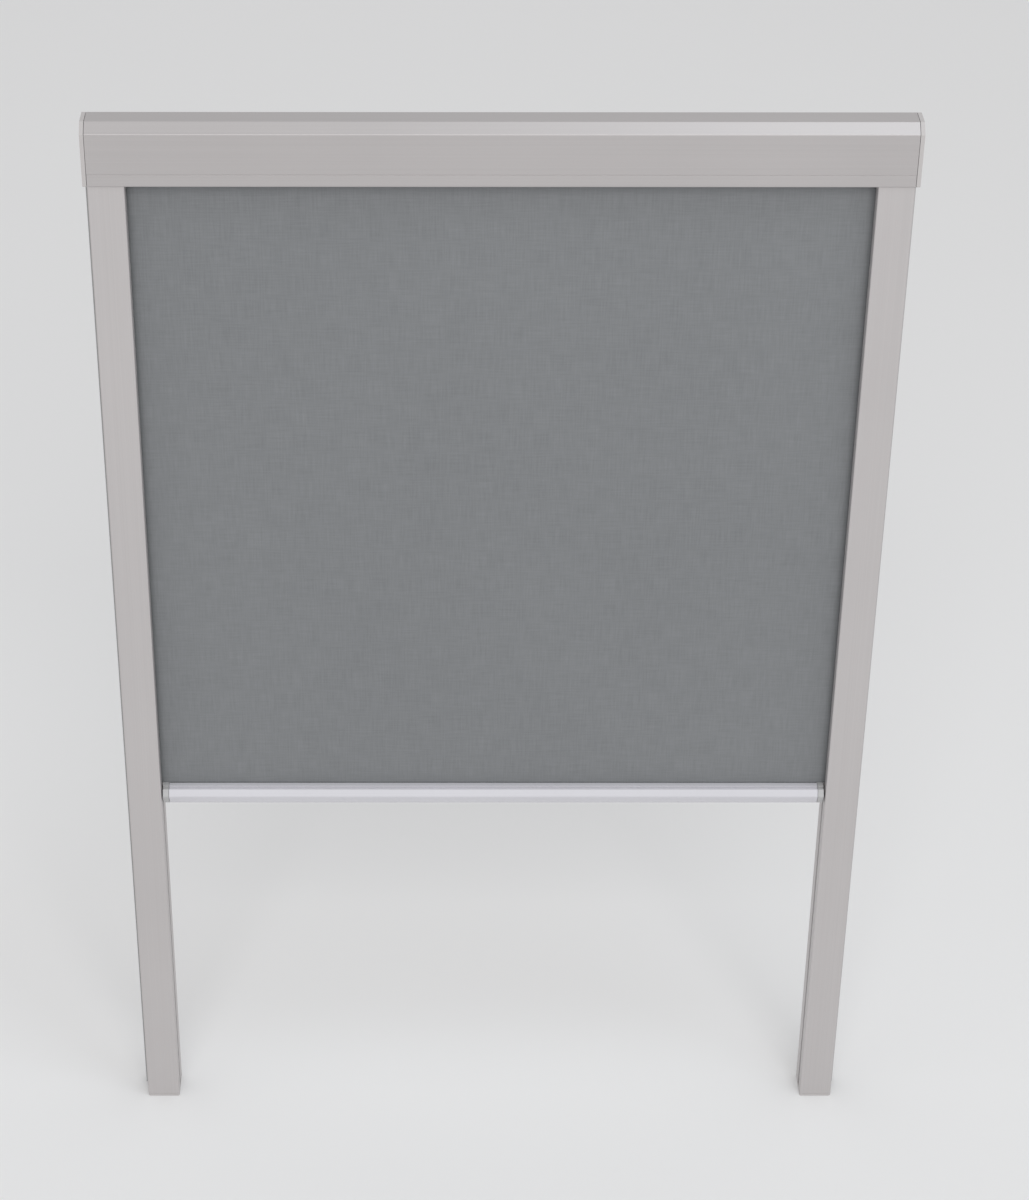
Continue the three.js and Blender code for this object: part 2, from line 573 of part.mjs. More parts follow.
for (const [name, side] of Object.entries(SIDES)) {
  const ribSpan = across(side, flangeInner - CAP_RIB_LENGTH, flangeInner + EMBED);
  const body = joined(
    alongX(capOutline, across(side, flangeInner, cassetteEnd)),
    block(
      ribSpan,
      [frontY + ribInside, frontY + ribInside + CAP_RIB],
      [grooveRibZ[1] + SEAT_GAP, coverPort[1] - portReach],
    ),
    block(ribSpan, [-ribInside - CAP_RIB, -ribInside], [basePort[1] + portReach, backTopZ - ribInside]),
    sleeve(BOSS_RADIUS, 0, across(side, flangeInner - BOSS_LENGTH, flangeInner + EMBED), rollerAxis),
  );
  const socketSpan = across(side, flangeInner - BOSS_LENGTH - OVERRUN, flangeInner + SOCKET_FLOOR);
  const squareHalf = SHAFT_SQUARE / 2 + SEAT_GAP / 2;
  const socket =
    name === "left"
      ? block(socketSpan, grown([rollerY, rollerY], squareHalf), grown([rollerZ, rollerZ], squareHalf))
      : sleeve(PIN_RADIUS + SEAT_GAP / 2, 0, socketSpan, rollerAxis);
  const screwCuts = [coverPort, basePort].flatMap((centre) => [
    sleeve(CAP_HOLE_RADIUS, 0, across(side, flangeInner - OVERRUN, cassetteEnd + OVERRUN), centre, 12),
    sleeve(
      CAP_SCREW_HEAD_RADIUS + SEAT_GAP,
      0,
      across(side, cassetteEnd - CAP_SCREW_HEAD - SEAT_GAP, cassetteEnd + OVERRUN),
      centre,
      16,
    ),
  ]);
  const bracketCuts = [
    block(
      across(side, pocketDepthX, cassetteEnd + OVERRUN),
      grown([bracketFrontY, bracketBackY], SEAT_GAP),
      grown([bracketBottomZ, bracketTopZ], SEAT_GAP),
    ),
    block(
      across(side, flangeInner - OVERRUN, cassetteEnd),
      grown(tongueSpanY, SEAT_GAP),
      grown([bracketTopZ - BRACKET_THICKNESS, bracketTopZ], SEAT_GAP),
    ),
    ...bracketHoles.map((centre) =>
      sleeve(DRIVER_HOLE_RADIUS, 0, across(side, flangeInner - OVERRUN, cassetteEnd), centre, 20),
    ),
  ];
  add(`end_cap_${name}`, cut(body, socket, ...screwCuts, ...bracketCuts), CAP_PLASTIC);

  // Mounting bracket: a steel plate for the side of the sash, with a tongue that the cap hangs on.
  const plate = alongX(
    rectangle([bracketFrontY, bracketBackY], [bracketBottomZ, bracketTopZ], BRACKET_RADIUS),
    across(side, bracketInner, bracketOuter),
    bracketHoles.map((centre) => circle(centre, BRACKET_HOLE_RADIUS)),
  );
  const tongue = block(
    across(side, bracketInner - TONGUE_REACH, bracketInner + EMBED),
    [tongueSpanY[0] + BRACKET_RADIUS, tongueSpanY[1]],
    [bracketTopZ - BRACKET_THICKNESS, bracketTopZ],
  );
  add(`mounting_bracket_${name}`, joined(plate, tongue), STEEL);

  // Screws that hold the cap to the cover and to the base.
  for (const [where, [y, z]] of Object.entries({ upper: coverPort, lower: basePort })) {
    const capScrew = screw(CAP_SCREW_RADIUS, CAP_SCREW_LENGTH, CAP_SCREW_HEAD_RADIUS, CAP_SCREW_HEAD);
    add(
      `end_cap_screw_${name}_${where}`,
      capScrew.rotateY(side > 0 ? Math.PI : 0).translate(side * cassetteEnd, y, z),
      STEEL,
    );
  }
}

// Roller: tube and wound cloth.
const tubeEnd = cassetteEnd - TUBE_END_GAP;
const tubeBore = TUBE_RADIUS - TUBE_WALL;
add("roller_tube", sleeve(TUBE_RADIUS, tubeBore, [-tubeEnd, tubeEnd], rollerAxis, 32), ROLLER_ALUMINIUM);
const fabricSpan = [-fabricEdge, fabricEdge];
add("fabric_roll", sleeve(restRoll, rollInner + GLUE_LINE, fabricSpan, rollerAxis, 32), FABRIC);

// Spring motor: bush, shaft, torsion spring and the plug that the spring turns.
const plugRadius = tubeBore - GLUE_LINE - RUNNING_GAP;
const bushOuterX = -tubeEnd - SEAT_GAP - BUSH_FLANGE;
const bushInnerX = -tubeEnd + BUSH_LENGTH;
const bushBore = SHAFT_RADIUS + RUNNING_GAP;
add(
  "spring_bearing",
  turned(
    [
      [bushBore, bushOuterX],
      [TUBE_RADIUS, bushOuterX],
      [TUBE_RADIUS, -tubeEnd - SEAT_GAP],
      [plugRadius, -tubeEnd - SEAT_GAP],
      [plugRadius, bushInnerX],
      [bushBore, bushInnerX],
      [bushBore, bushOuterX],
    ],
    rollerAxis,
    32,
  ),
  WHITE_PLASTIC,
);
const springPlateX = bushInnerX + SEAT_GAP;
const springStart = springPlateX + SPRING_PLATE + SPRING_WIRE / 2 + SEAT_GAP;
const springEnd = springStart + SPRING_PITCH * SPRING_CURLS;
const springPlugX = springEnd + SPRING_WIRE / 2 + SEAT_GAP;
const shaftEndX = springPlugX + PLUG_BORE_DEPTH - SEAT_GAP;
const shaftCollarX = bushOuterX - SEAT_GAP - SHAFT_COLLAR;
const socketFloorX = -(flangeInner + SOCKET_FLOOR - SEAT_GAP);
add(
  "spring_shaft",
  joined(
    turned(
      [
        [0, shaftCollarX],
        [SHAFT_COLLAR_RADIUS, shaftCollarX],
        [SHAFT_COLLAR_RADIUS, shaftCollarX + SHAFT_COLLAR],
        [SHAFT_RADIUS, shaftCollarX + SHAFT_COLLAR],
        [SHAFT_RADIUS, springPlateX],
        [SPRING_RADIUS + SPRING_WIRE / 2, springPlateX],
        [SPRING_RADIUS + SPRING_WIRE / 2, springPlateX + SPRING_PLATE],
        [SHAFT_RADIUS, springPlateX + SPRING_PLATE],
        [SHAFT_RADIUS, shaftEndX],
        [0, shaftEndX],
      ],
      rollerAxis,
    ),
    block(
      [socketFloorX, shaftCollarX + EMBED],
      grown([rollerY, rollerY], SHAFT_SQUARE / 2),
      grown([rollerZ, rollerZ], SHAFT_SQUARE / 2),
    ),
  ),
  STEEL,
);
add(
  "torsion_spring",
  coil({
    name: "torsion_spring",
    wire: SPRING_WIRE,
    radius: SPRING_RADIUS,
    pitch: SPRING_PITCH,
    curls: SPRING_CURLS,
    start: springStart,
    centre: rollerAxis,
  }),
  STEEL,
);
add(
  "spring_plug",
  turned(
    [
      [bushBore, springPlugX],
      [plugRadius, springPlugX],
      [plugRadius, springPlugX + SPRING_PLUG_LENGTH],
      [0, springPlugX + SPRING_PLUG_LENGTH],
      [0, springPlugX + PLUG_BORE_DEPTH],
      [bushBore, springPlugX + PLUG_BORE_DEPTH],
      [bushBore, springPlugX],
    ],
    rollerAxis,
  ),
  WHITE_PLASTIC,
);

// Idle end: bush in the tube and the pin in the right cap.
const pinBore = PIN_RADIUS + RUNNING_GAP;
const pinOuterX = flangeInner + SOCKET_FLOOR - SEAT_GAP;
add(
  "idle_plug",
  turned(
    [
      [pinBore, tubeEnd - BUSH_LENGTH],
      [plugRadius, tubeEnd - BUSH_LENGTH],
      [plugRadius, tubeEnd + SEAT_GAP],
      [TUBE_RADIUS, tubeEnd + SEAT_GAP],
      [TUBE_RADIUS, tubeEnd + SEAT_GAP + BUSH_FLANGE],
      [pinBore, tubeEnd + SEAT_GAP + BUSH_FLANGE],
      [pinBore, tubeEnd - BUSH_LENGTH],
    ],
    rollerAxis,
    32,
  ),
  WHITE_PLASTIC,
);
const pinCollarX = tubeEnd + SEAT_GAP + BUSH_FLANGE + SEAT_GAP;
add(
  "idle_pin",
  turned(
    [
      [0, pinOuterX - PIN_LENGTH],
      [PIN_RADIUS, pinOuterX - PIN_LENGTH],
      [PIN_RADIUS, pinCollarX],
      [SHAFT_COLLAR_RADIUS, pinCollarX],
      [SHAFT_COLLAR_RADIUS, pinCollarX + SHAFT_COLLAR],
      [PIN_RADIUS, pinCollarX + SHAFT_COLLAR],
      [PIN_RADIUS, pinOuterX],
      [0, pinOuterX],
    ],
    rollerAxis,
  ),
  STEEL,
);

// Side rails, in u (inwards from the outer face) and y.
const guideEdge = railWidth;
const channelLine = [
  [GUIDE_START, guideBackY],
  [guideEdge, guideBackY],
  [guideEdge, railBackY],
  [0, railBackY, RAIL_INNER_RADIUS],
  [0, channelEdgeY],
];
const faceLine = [
  [0, railFrontY + RAIL_LIP],
  [0, railFrontY, RAIL_OUTER_RADIUS],
  [guideEdge, railFrontY, RAIL_INNER_RADIUS],
  [guideEdge, guideFrontY],
  [GUIDE_START, guideFrontY],
];
const clipSpanU = [RAIL_WALL + SEAT_GAP, 2 * RAIL_WALL + SEAT_GAP];
const clipSpanY = [railFrontY + RAIL_WALL - EMBED, channelEdgeY + CLIP_LENGTH];
const rearHollow = {
  u: grown([RAIL_WALL, guideEdge - RAIL_WALL], -SEAT_GAP),
  y: grown([guideBackY + RAIL_WALL, railBackY - RAIL_WALL], -SEAT_GAP),
};
const footOutline = [
  [0, railFrontY, RAIL_OUTER_RADIUS],
  [guideEdge, railFrontY, RAIL_INNER_RADIUS],
  [guideEdge, railBackY],
  [0, railBackY, RAIL_INNER_RADIUS],
];
const pileReach = (2 * guideHalf - PILE_GAP) / 2;

for (const [name, side] of Object.entries(SIDES)) {
  const toX = (u) => side * (railOuter - u);
  const placed = (points) => points.map((p) => new THREE.Vector2(toX(p.x), p.y));
  const upright = (points, span) => alongZ(placed(points), span);
  const railSpan = [railBottomZ, railTopZ];

  // Channel: screwed to the sash through the holes in front of the glide's way.
  const screwHoles = RAIL_HOLE_SHARES.map((share) => {
    const centre = [screwRowY, railTopZ - share * RAIL_LENGTH];
    const cone = [
      [0, toX(-OVERRUN)],
      [RAIL_HOLE_RADIUS, toX(-OVERRUN)],
      [RAIL_HOLE_RADIUS, toX(0)],
      [COUNTERSINK_RADIUS, toX(RAIL_WALL + GLUE_LINE)],
      [0, toX(RAIL_WALL + GLUE_LINE)],
    ];
    return turned(side < 0 ? cone : cone.reverse(), centre, 16);
  });
  add(
    `rail_channel_${name}`,
    cut(upright(wall(channelLine, RAIL_WALL), railSpan), ...screwHoles),
    ALUMINIUM,
  );

  // Face: clips over the channel and covers the screws.
  const faceSection = wall(faceLine, RAIL_WALL);
  add(
    `rail_cover_${name}`,
    joined(upright(faceSection, railSpan), upright(rectangle(clipSpanU, clipSpanY), railSpan)),
    ALUMINIUM,
  );

  // Pile strips that close the slot on the cloth.
  const pileU = [guideEdge - PILE_INSET - PILE_WIDTH, guideEdge - PILE_INSET];
  add(
    `rail_pile_front_${name}`,
    upright(rectangle(pileU, [guideFrontY + GLUE_LINE, guideFrontY + pileReach]), railSpan),
    PILE,
  );
  add(
    `rail_pile_rear_${name}`,
    upright(rectangle(pileU, [guideBackY - pileReach, guideBackY - GLUE_LINE]), railSpan),
    PILE,
  );

  // Foot: a moulded plate with a plug in the rear hollow.
  add(
    `rail_foot_${name}`,
    joined(
      upright(rounded(footOutline), [footBottomZ, footTopZ]),
      upright(rectangle(rearHollow.u, rearHollow.y), [footTopZ - EMBED, footTopZ + FOOT_PLUG]),
    ),
    CAP_PLASTIC,
  );

  // Foam tape that keeps the rail off the sash.
  const tapeY = [railBackY - TAPE_INSET - TAPE_WIDTH, railBackY - TAPE_INSET];
  add(`rail_tape_${name}`, upright(rectangle([-RAIL_INSET, -GLUE_LINE], tapeY), railSpan), FOAM);
}

// Cloth: hangs from the front of the roll into the slot of the bar, where a round cord holds its hem.
const hemEdge = barEnd - SEAT_GAP;
const fabricOutline = [
  [-fabricEdge, rollerZ - SEAT_GAP],
  [fabricEdge, rollerZ - SEAT_GAP],
  [fabricEdge, barTopZ + SEAT_GAP],
  [hemEdge, barTopZ + SEAT_GAP],
  [hemEdge, barTopZ - FABRIC_TAIL],
  [-hemEdge, barTopZ - FABRIC_TAIL],
  [-hemEdge, barTopZ + SEAT_GAP],
  [-fabricEdge, barTopZ + SEAT_GAP],
].map(point);
const sheet = extruded(fabricOutline, [0, FABRIC_THICKNESS]).rotateX(Math.PI / 2);
add("fabric_sheet", sheet.translate(0, fabricBackY, 0), FABRIC);
add(
  "fabric_spline",
  sleeve(SPLINE_RADIUS, 0, [-hemEdge, hemEdge], [fabricY, barTopZ - HEM_CHANNEL_DROP], 12),
  WHITE_PLASTIC,
);

// Bottom bar: one extrusion with a ledge, a finger groove behind the nose, and a chamber below.
const barOutline = rounded([
  [barBackY, barTopZ, BAR_WALL / 2],
  [fingerBackY, barTopZ, BAR_WALL / 4],
  [fingerBackY, barTopZ - FINGER_GROOVE_DEPTH, BAR_WALL / 4],
  [fingerFrontY, barTopZ - FINGER_GROOVE_DEPTH, BAR_WALL / 4],
  [fingerFrontY, barTopZ, BAR_WALL / 2],
  [barFrontY, barTopZ - NOSE_DROP, NOSE_RADIUS],
  [barFrontY + NOSE_UNDERCUT, barBottomZ, BAR_WALL],
  [barBackY, barBottomZ, BAR_WALL / 2],
]);
const ridgeZ = barTopZ - NOSE_DROP;
const underLean = NOSE_UNDERCUT / (BAR_HEIGHT - NOSE_DROP);
const overLean = NOSE_DEPTH / NOSE_DROP;
const underNose = (z) => barFrontY + (ridgeZ - z) * underLean + BAR_WALL * Math.hypot(1, underLean);
const overNose = (z) => barFrontY + (z - ridgeZ) * overLean + BAR_WALL * Math.hypot(1, overLean);
const chamberCorners = [
  [barBackY - BAR_WALL, chamberTopZ],
  [underNose(chamberTopZ), chamberTopZ],
  [underNose(chamberBottomZ), chamberBottomZ],
  [barBackY - BAR_WALL, chamberBottomZ],
];
const hemWallHalf = HEM_CHANNEL_RADIUS + BAR_WALL;
const frontPocketTopZ = barTopZ - FINGER_GROOVE_DEPTH - BAR_WALL;
const frontPocket = [
  [fabricY - hemWallHalf, frontPocketTopZ],
  [overNose(frontPocketTopZ), frontPocketTopZ],
  [underNose(chamberTopZ), chamberTopZ],
  [underNose(chamberTopZ - EMBED), chamberTopZ - EMBED],
  [fabricY - hemWallHalf, chamberTopZ - EMBED],
];
const backPocketY = [fabricY + hemWallHalf, barBackY - BAR_WALL];
const barCutSpan = [-barEnd - OVERRUN, barEnd + OVERRUN];
const barScrewX = barEnd - BAR_SCREW_INSET;

// The hole for the screw that holds a cap in the bar, from behind the bar to a depth below its back face.
function barScrewHole(side, depth) {
  const bore = sleeve(BAR_SCREW_RADIUS + SEAT_GAP / 2, 0, [-OVERRUN, depth], [0, 0], 12);
  return bore.rotateZ(-Math.PI / 2).translate(side * barScrewX, barBackY, neckMiddleZ);
}

const hemSlotY = grown([fabricY, fabricY], HEM_SLOT / 2);
const sealSeatY = grown([fabricY, fabricY], BAR_SEAL_WIDTH / 2);
add(
  "bottom_bar",
  cut(
    alongX(barOutline, [-barEnd, barEnd]),
    alongX(chamberCorners.map(point), barCutSpan),
    alongX(frontPocket.map(point), barCutSpan),
    block(barCutSpan, backPocketY, [chamberTopZ - EMBED, barTopZ - BAR_WALL]),
    block(barCutSpan, hemSlotY, [barTopZ - HEM_CHANNEL_DROP, barTopZ + OVERRUN]),
    sleeve(HEM_CHANNEL_RADIUS, 0, barCutSpan, [fabricY, barTopZ - HEM_CHANNEL_DROP], 16),
    block(barCutSpan, sealSeatY, [barBottomZ - OVERRUN, barBottomZ + BAR_SEAL_SEAT]),
    barScrewHole(-1, BAR_WALL + OVERRUN),
    barScrewHole(1, BAR_WALL + OVERRUN),
  ),
  ALUMINIUM,
);
const sealZ = [barBottomZ - BAR_SEAL_DROP, barBottomZ + BAR_SEAL_SEAT - GLUE_LINE];
add("bar_seal", alongX(rectangle(grown(sealSeatY, -GLUE_LINE), sealZ), [-barEnd, barEnd]), PILE);

// Ends of the bar: cap, glide with its neck, and the sprung brake shoe.
const neckY = grown([fabricY, fabricY], NECK_THICKNESS / 2);
const neckZ = grown([neckMiddleZ, neckMiddleZ], NECK_HEIGHT / 2);
const plugTopZ = chamberTopZ - SEAT_GAP;
const plugBottomZ = chamberBottomZ + SEAT_GAP;
const plugBackY = barBackY - BAR_WALL - SEAT_GAP;
const plugSection = [
  [plugBackY, plugTopZ],
  [underNose(plugTopZ) + SEAT_GAP, plugTopZ],
  [underNose(plugBottomZ) + SEAT_GAP, plugBottomZ],
  [plugBackY, plugBottomZ],
].map(point);
const shoeZ = grown([sliderMiddleZ, sliderMiddleZ], SHOE_HEIGHT / 2);
const shoeY = grown([fabricY, fabricY], shoeHalf);

for (const [name, side] of Object.entries(SIDES)) {
  add(
    `bar_end_cap_${name}`,
    cut(
      joined(
        alongX(barOutline, across(side, barCapInner, barCapOuter)),
        alongX(plugSection, across(side, barCapInner - BAR_CAP_PLUG, barCapInner + EMBED)),
      ),
      block(
        across(side, barCapInner - BAR_CAP_PLUG - OVERRUN, barCapOuter + OVERRUN),
        grown(neckY, SEAT_GAP / 2),
        grown(neckZ, SEAT_GAP / 2),
      ),
      barScrewHole(side, BAR_SCREW_LENGTH),
    ),
    DARK_PLASTIC,
  );
  const barScrew = screw(BAR_SCREW_RADIUS, BAR_SCREW_LENGTH, BAR_SCREW_HEAD_RADIUS, BAR_SCREW_HEAD);
  add(
    `bar_cap_screw_${name}`,
    barScrew
      .rotateZ(-Math.PI / 2)
      .translate(side * barScrewX, barBackY + BAR_SCREW_HEAD + SEAT_GAP, neckMiddleZ),
    STEEL,
  );
  add(
    `bar_slider_${name}`,
    cut(
      joined(
        block(
          across(side, sliderInner, sliderOuter),
          grown([fabricY, fabricY], SLIDER_THICKNESS / 2),
          [barBottomZ, barTopZ + SLIDER_RISE],
        ),
        block(across(side, barCapOuter - NECK_INSERT, sliderInner + EMBED), neckY, neckZ),
      ),
      block(
        across(side, pocketFloor, sliderOuter + OVERRUN),
        grown([fabricY, fabricY], pocketHalf),
        grown(shoeZ, SEAT_GAP / 2),
      ),
    ),
    WHITE_PLASTIC,
  );
  add(
    `brake_shoe_${name}`,
    alongX(rectangle(shoeY, shoeZ, BAR_WALL / 2), across(side, shoeInner, shoeOuter)),
    DARK_PLASTIC,
  );
  const brakeSeat = side < 0 ? -shoeInner : pocketFloor;
  add(
    `brake_spring_${name}`,
    coil({
      name: `brake_spring_${name}`,
      wire: BRAKE_WIRE,
      radius: BRAKE_SPRING_RADIUS,
      pitch: (brakeSpringLength - BRAKE_WIRE) / BRAKE_CURLS,
      curls: BRAKE_CURLS,
      start: brakeSeat + SEAT_GAP + BRAKE_WIRE / 2,
      centre: [fabricY, sliderMiddleZ],
    }),
    STEEL,
  );
}

// The origin is the middle of the cassette's flat back.
blind.position.z = -(backTopZ + bottomZ) / 2;

export default blind;
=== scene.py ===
import math
import random

import bmesh
import bpy
from mathutils import Matrix, Vector


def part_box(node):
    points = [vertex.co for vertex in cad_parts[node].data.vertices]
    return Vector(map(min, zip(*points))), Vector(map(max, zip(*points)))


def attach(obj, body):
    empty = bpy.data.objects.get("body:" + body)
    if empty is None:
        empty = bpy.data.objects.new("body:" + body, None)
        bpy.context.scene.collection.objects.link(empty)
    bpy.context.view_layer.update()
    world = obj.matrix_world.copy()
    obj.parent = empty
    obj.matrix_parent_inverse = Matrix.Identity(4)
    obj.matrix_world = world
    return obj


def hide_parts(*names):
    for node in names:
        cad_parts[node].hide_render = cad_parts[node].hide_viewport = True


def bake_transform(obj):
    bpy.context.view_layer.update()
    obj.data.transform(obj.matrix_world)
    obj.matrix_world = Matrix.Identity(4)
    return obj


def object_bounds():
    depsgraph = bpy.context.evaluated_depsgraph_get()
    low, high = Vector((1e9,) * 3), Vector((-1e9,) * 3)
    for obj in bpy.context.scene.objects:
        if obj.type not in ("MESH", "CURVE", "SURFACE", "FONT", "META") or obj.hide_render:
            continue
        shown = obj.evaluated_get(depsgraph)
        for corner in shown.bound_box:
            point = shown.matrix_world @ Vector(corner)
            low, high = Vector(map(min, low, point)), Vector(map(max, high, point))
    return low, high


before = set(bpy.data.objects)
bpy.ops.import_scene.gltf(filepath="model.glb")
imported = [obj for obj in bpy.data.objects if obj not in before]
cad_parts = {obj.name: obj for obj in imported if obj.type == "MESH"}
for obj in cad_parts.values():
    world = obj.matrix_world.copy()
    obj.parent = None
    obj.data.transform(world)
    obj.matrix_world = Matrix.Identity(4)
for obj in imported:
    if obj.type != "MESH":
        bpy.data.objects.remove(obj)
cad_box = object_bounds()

# Camera: above the blind and in front of it, a little left of its middle, looking down at it at the angle of the
# photograph. The shift stands for a picture that was cropped from a larger one.
CAMERA_PLACE = (-0.0475, -2.0352, 0.8877)
CAMERA_TILT = math.radians(32.36)
CAMERA_YAW = math.radians(0.139)
CAMERA_ROLL = math.radians(0.095)
FOCAL_LENGTH = 88.98
SENSOR_WIDTH = 36
SHIFT = 0.0602
scene = bpy.context.scene
lens = bpy.data.cameras.new("camera")
lens.sensor_width = SENSOR_WIDTH
lens.sensor_fit = "AUTO"
lens.lens = FOCAL_LENGTH
lens.shift_x = SHIFT
camera = bpy.data.objects.new("camera", lens)
scene.collection.objects.link(camera)
scene.camera = camera
camera.matrix_world = (
    Matrix.Translation(CAMERA_PLACE)
    @ Matrix.Rotation(-CAMERA_YAW, 4, "Z")
    @ Matrix.Rotation(math.pi / 2 - CAMERA_TILT, 4, "X")
    @ Matrix.Rotation(CAMERA_ROLL, 4, "Z")
)
scene.view_settings.view_transform = "Standard"

# Studio: plain pale floor under the rails' feet, even light from all round, one wide soft lamp in front of the blind
# and a small one over the right half of the cassette.
FLOOR_REACH = 16
WORLD_TONE = (0.86, 0.86, 0.865, 1)
WORLD_LIGHT = 0.76


class Tone:
    """A socket of a material that takes part in sums, each of which adds its Math node."""

    def __init__(self, finish, socket):
        self.finish = finish
        self.socket = socket

    def joined_by(self, operation, first, second):
        return self.finish.node("ShaderNodeMath", {"operation": operation}, {0: first, 1: second})

    def __add__(self, other):
        return self.joined_by("ADD", self, other)

    def __radd__(self, other):
        return self.joined_by("ADD", other, self)

    def __sub__(self, other):
        return self.joined_by("SUBTRACT", self, other)

    def __rsub__(self, other):
        return self.joined_by("SUBTRACT", other, self)

    def __mul__(self, other):
        return self.joined_by("MULTIPLY", self, other)

    def __rmul__(self, other):
        return self.joined_by("MULTIPLY", other, self)

    def sine(self):
        return self.joined_by("SINE", self, 0)


class Finish:
    """A material, or the world, and the nodes that make it."""

    def __init__(self, owner):
        owner.use_nodes = True
        self.owner = owner
        self.tree = owner.node_tree
        self.tree.nodes.clear()

    def node(self, kind, settings=None, inputs=None, output=0):
        """Adds a node: its settings first, then the values or links of its sockets."""
        made = self.tree.nodes.new(kind)
        for name, value in (settings or {}).items():
            setattr(made, name, value)
        for name, value in (inputs or {}).items():
            if isinstance(value, Tone):
                self.tree.links.new(value.socket, made.inputs[name])
            else:
                made.inputs[name].default_value = value
        return Tone(self, made.outputs[output]) if made.outputs else None

    def here(self):
        return self.node("ShaderNodeTexCoord", output="Object")

    def parts(self, vector):
        """The X, Y and Z of a vector."""
        split = self.node("ShaderNodeSeparateXYZ", {}, {"Vector": vector}).socket.node
        return [Tone(self, output) for output in split.outputs]

    def cloudy(self, scale, detail=2.0, roughness=0.5, vector=None):
        """Noise from -0.5 to 0.5. scale is how many patches there are to a metre, along X, Y and Z."""
        place = self.node("ShaderNodeMapping", {}, {"Vector": vector or self.here(), "Scale": scale})
        fog = self.node(
            "ShaderNodeTexNoise", {}, {"Vector": place, "Scale": 1.0, "Detail": detail, "Roughness": roughness}
        )
        return fog - 0.5

    def mixed(self, share, first, second):
        return self.node(
            "ShaderNodeMix", {"data_type": "RGBA"}, {"Factor": share, 6: first, 7: second}, output=2
        )

    def relief(self, height, depth, strength=1.0):
        return self.node("ShaderNodeBump", {}, {"Height": height, "Distance": depth, "Strength": strength})

    def surface(self, **values):
        shader = self.node(
            "ShaderNodeBsdfPrincipled", {}, {name.replace("_", " "): value for name, value in values.items()}
        )
        self.node("ShaderNodeOutputMaterial", {}, {"Surface": shader})
        return self.owner


def grey(level, red=0.0, blue=0.0):
    """A near-grey colour as it is written, 0 to 255, made linear, with a little more or less red and blue."""
    tone = [(level + red) / 255, level / 255, (level + blue) / 255]
    return (*[((c + 0.055) / 1.055) ** 2.4 for c in tone], 1)


floor_finish = Finish(bpy.data.materials.new("floor"))
floor_material = floor_finish.surface(
    Base_Color=floor_finish.mixed(floor_finish.cloudy((3, 3, 3)) * 0.2 + 0.5, grey(236), grey(241)),
    Roughness=0.8,
)
floor_work = bmesh.new()
bmesh.ops.create_grid(floor_work, size=FLOOR_REACH / 2)
bmesh.ops.translate(floor_work, verts=floor_work.verts, vec=(0, 0, cad_box[0][2]))
floor_mesh = bpy.data.meshes.new("floor")
floor_work.to_mesh(floor_mesh)
floor_work.free()
floor_mesh.materials.append(floor_material)
floor = bpy.data.objects.new("floor", floor_mesh)
scene.collection.objects.link(floor)

world = bpy.data.worlds.new("studio")
scene.world = world
studio = Finish(world)
glow = studio.node("ShaderNodeBackground", {}, {"Color": WORLD_TONE, "Strength": WORLD_LIGHT})
studio.node("ShaderNodeOutputWorld", {}, {"Surface": glow})


def soft_lamp(name, place, aim, size, power, tone=(1, 1, 1)):
    lamp = bpy.data.lights.new(name, "AREA")
    lamp.shape = "RECTANGLE"
    lamp.size, lamp.size_y = size
    lamp.energy = power
    lamp.color = tone
    holder = bpy.data.objects.new(name, lamp)
    scene.collection.objects.link(holder)
    holder.location = place
    holder.visible_camera = False
    holder.rotation_euler = (Vector(aim) - Vector(place)).to_track_quat("-Z", "Y").to_euler()


soft_lamp("lamp_in_front", place=(0.4, -8.0, 5.2), aim=(0, 0, -0.5), size=(6.4, 4.8), power=335)
soft_lamp(
    "lamp_over_cassette",
    place=(0.62, -0.6, 1.5),
    aim=(0.05, -0.04, 0.0),
    size=(0.7, 0.5),
    power=4.6,
    tone=(0.86, 0.94, 1.0),
)

# Cassette base: the aluminium extrusion with the floor behind the cloth, the flat back, the bevel and the tongue
# that the cover hooks on. Matt anodised, with the fine lines that the die leaves along it.
MM = 0.001
SAME_PLACE = 1e-7
FLAT = math.radians(0.5)
SHARP = math.radians(32)
DIE_LINES = 1300.0
DIE_LINE_BREAKS = 2.5
BASE_RIM = 0.12 * MM


def anodised(name, along, level, red=4.0, blue=-0.5, metal=0.35):
    """Matt anodised aluminium. along is the axis of the extrusion, 0 for X or 2 for Z, and level its grey. red and
    blue tint its colour with painted reflection: by default a warm painted reflection of wood.
    """
    finish = Finish(bpy.data.materials.new(name))
    across = [DIE_LINES, DIE_LINES, DIE_LINES]
    across[along] = DIE_LINE_BREAKS
    lines = finish.cloudy(across, detail=3.0, roughness=0.6)
    grain = finish.cloudy((2600, 2600, 2600), detail=1.0)
    patches = finish.cloudy((7, 7, 7), detail=2.0)
    tone = 0.5 + 0.9 * lines + 0.5 * grain + 0.5 * patches
    # The red and blue that tint the base colour are painted reflection, not the aluminium's own colour.
    return finish.surface(
        Base_Color=finish.mixed(tone, grey(level - 6, red, blue), grey(level + 6, red, blue)),
        Metallic=metal,
        Roughness=0.42 + 0.10 * lines + 0.05 * patches,
        Normal=finish.relief(lines + 0.6 * grain, 0.012 * MM),
    )


def merged_copy(node):
    """The solid of a CAD node with its loose triangles joined and its flat faces made whole."""
    work = bmesh.new()
    work.from_mesh(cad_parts[node].data)
    bmesh.ops.remove_doubles(work, verts=work.verts, dist=SAME_PLACE)
    bmesh.ops.dissolve_limit(
        work, angle_limit=FLAT, use_dissolve_boundaries=False, verts=work.verts, edges=work.edges
    )
    return work


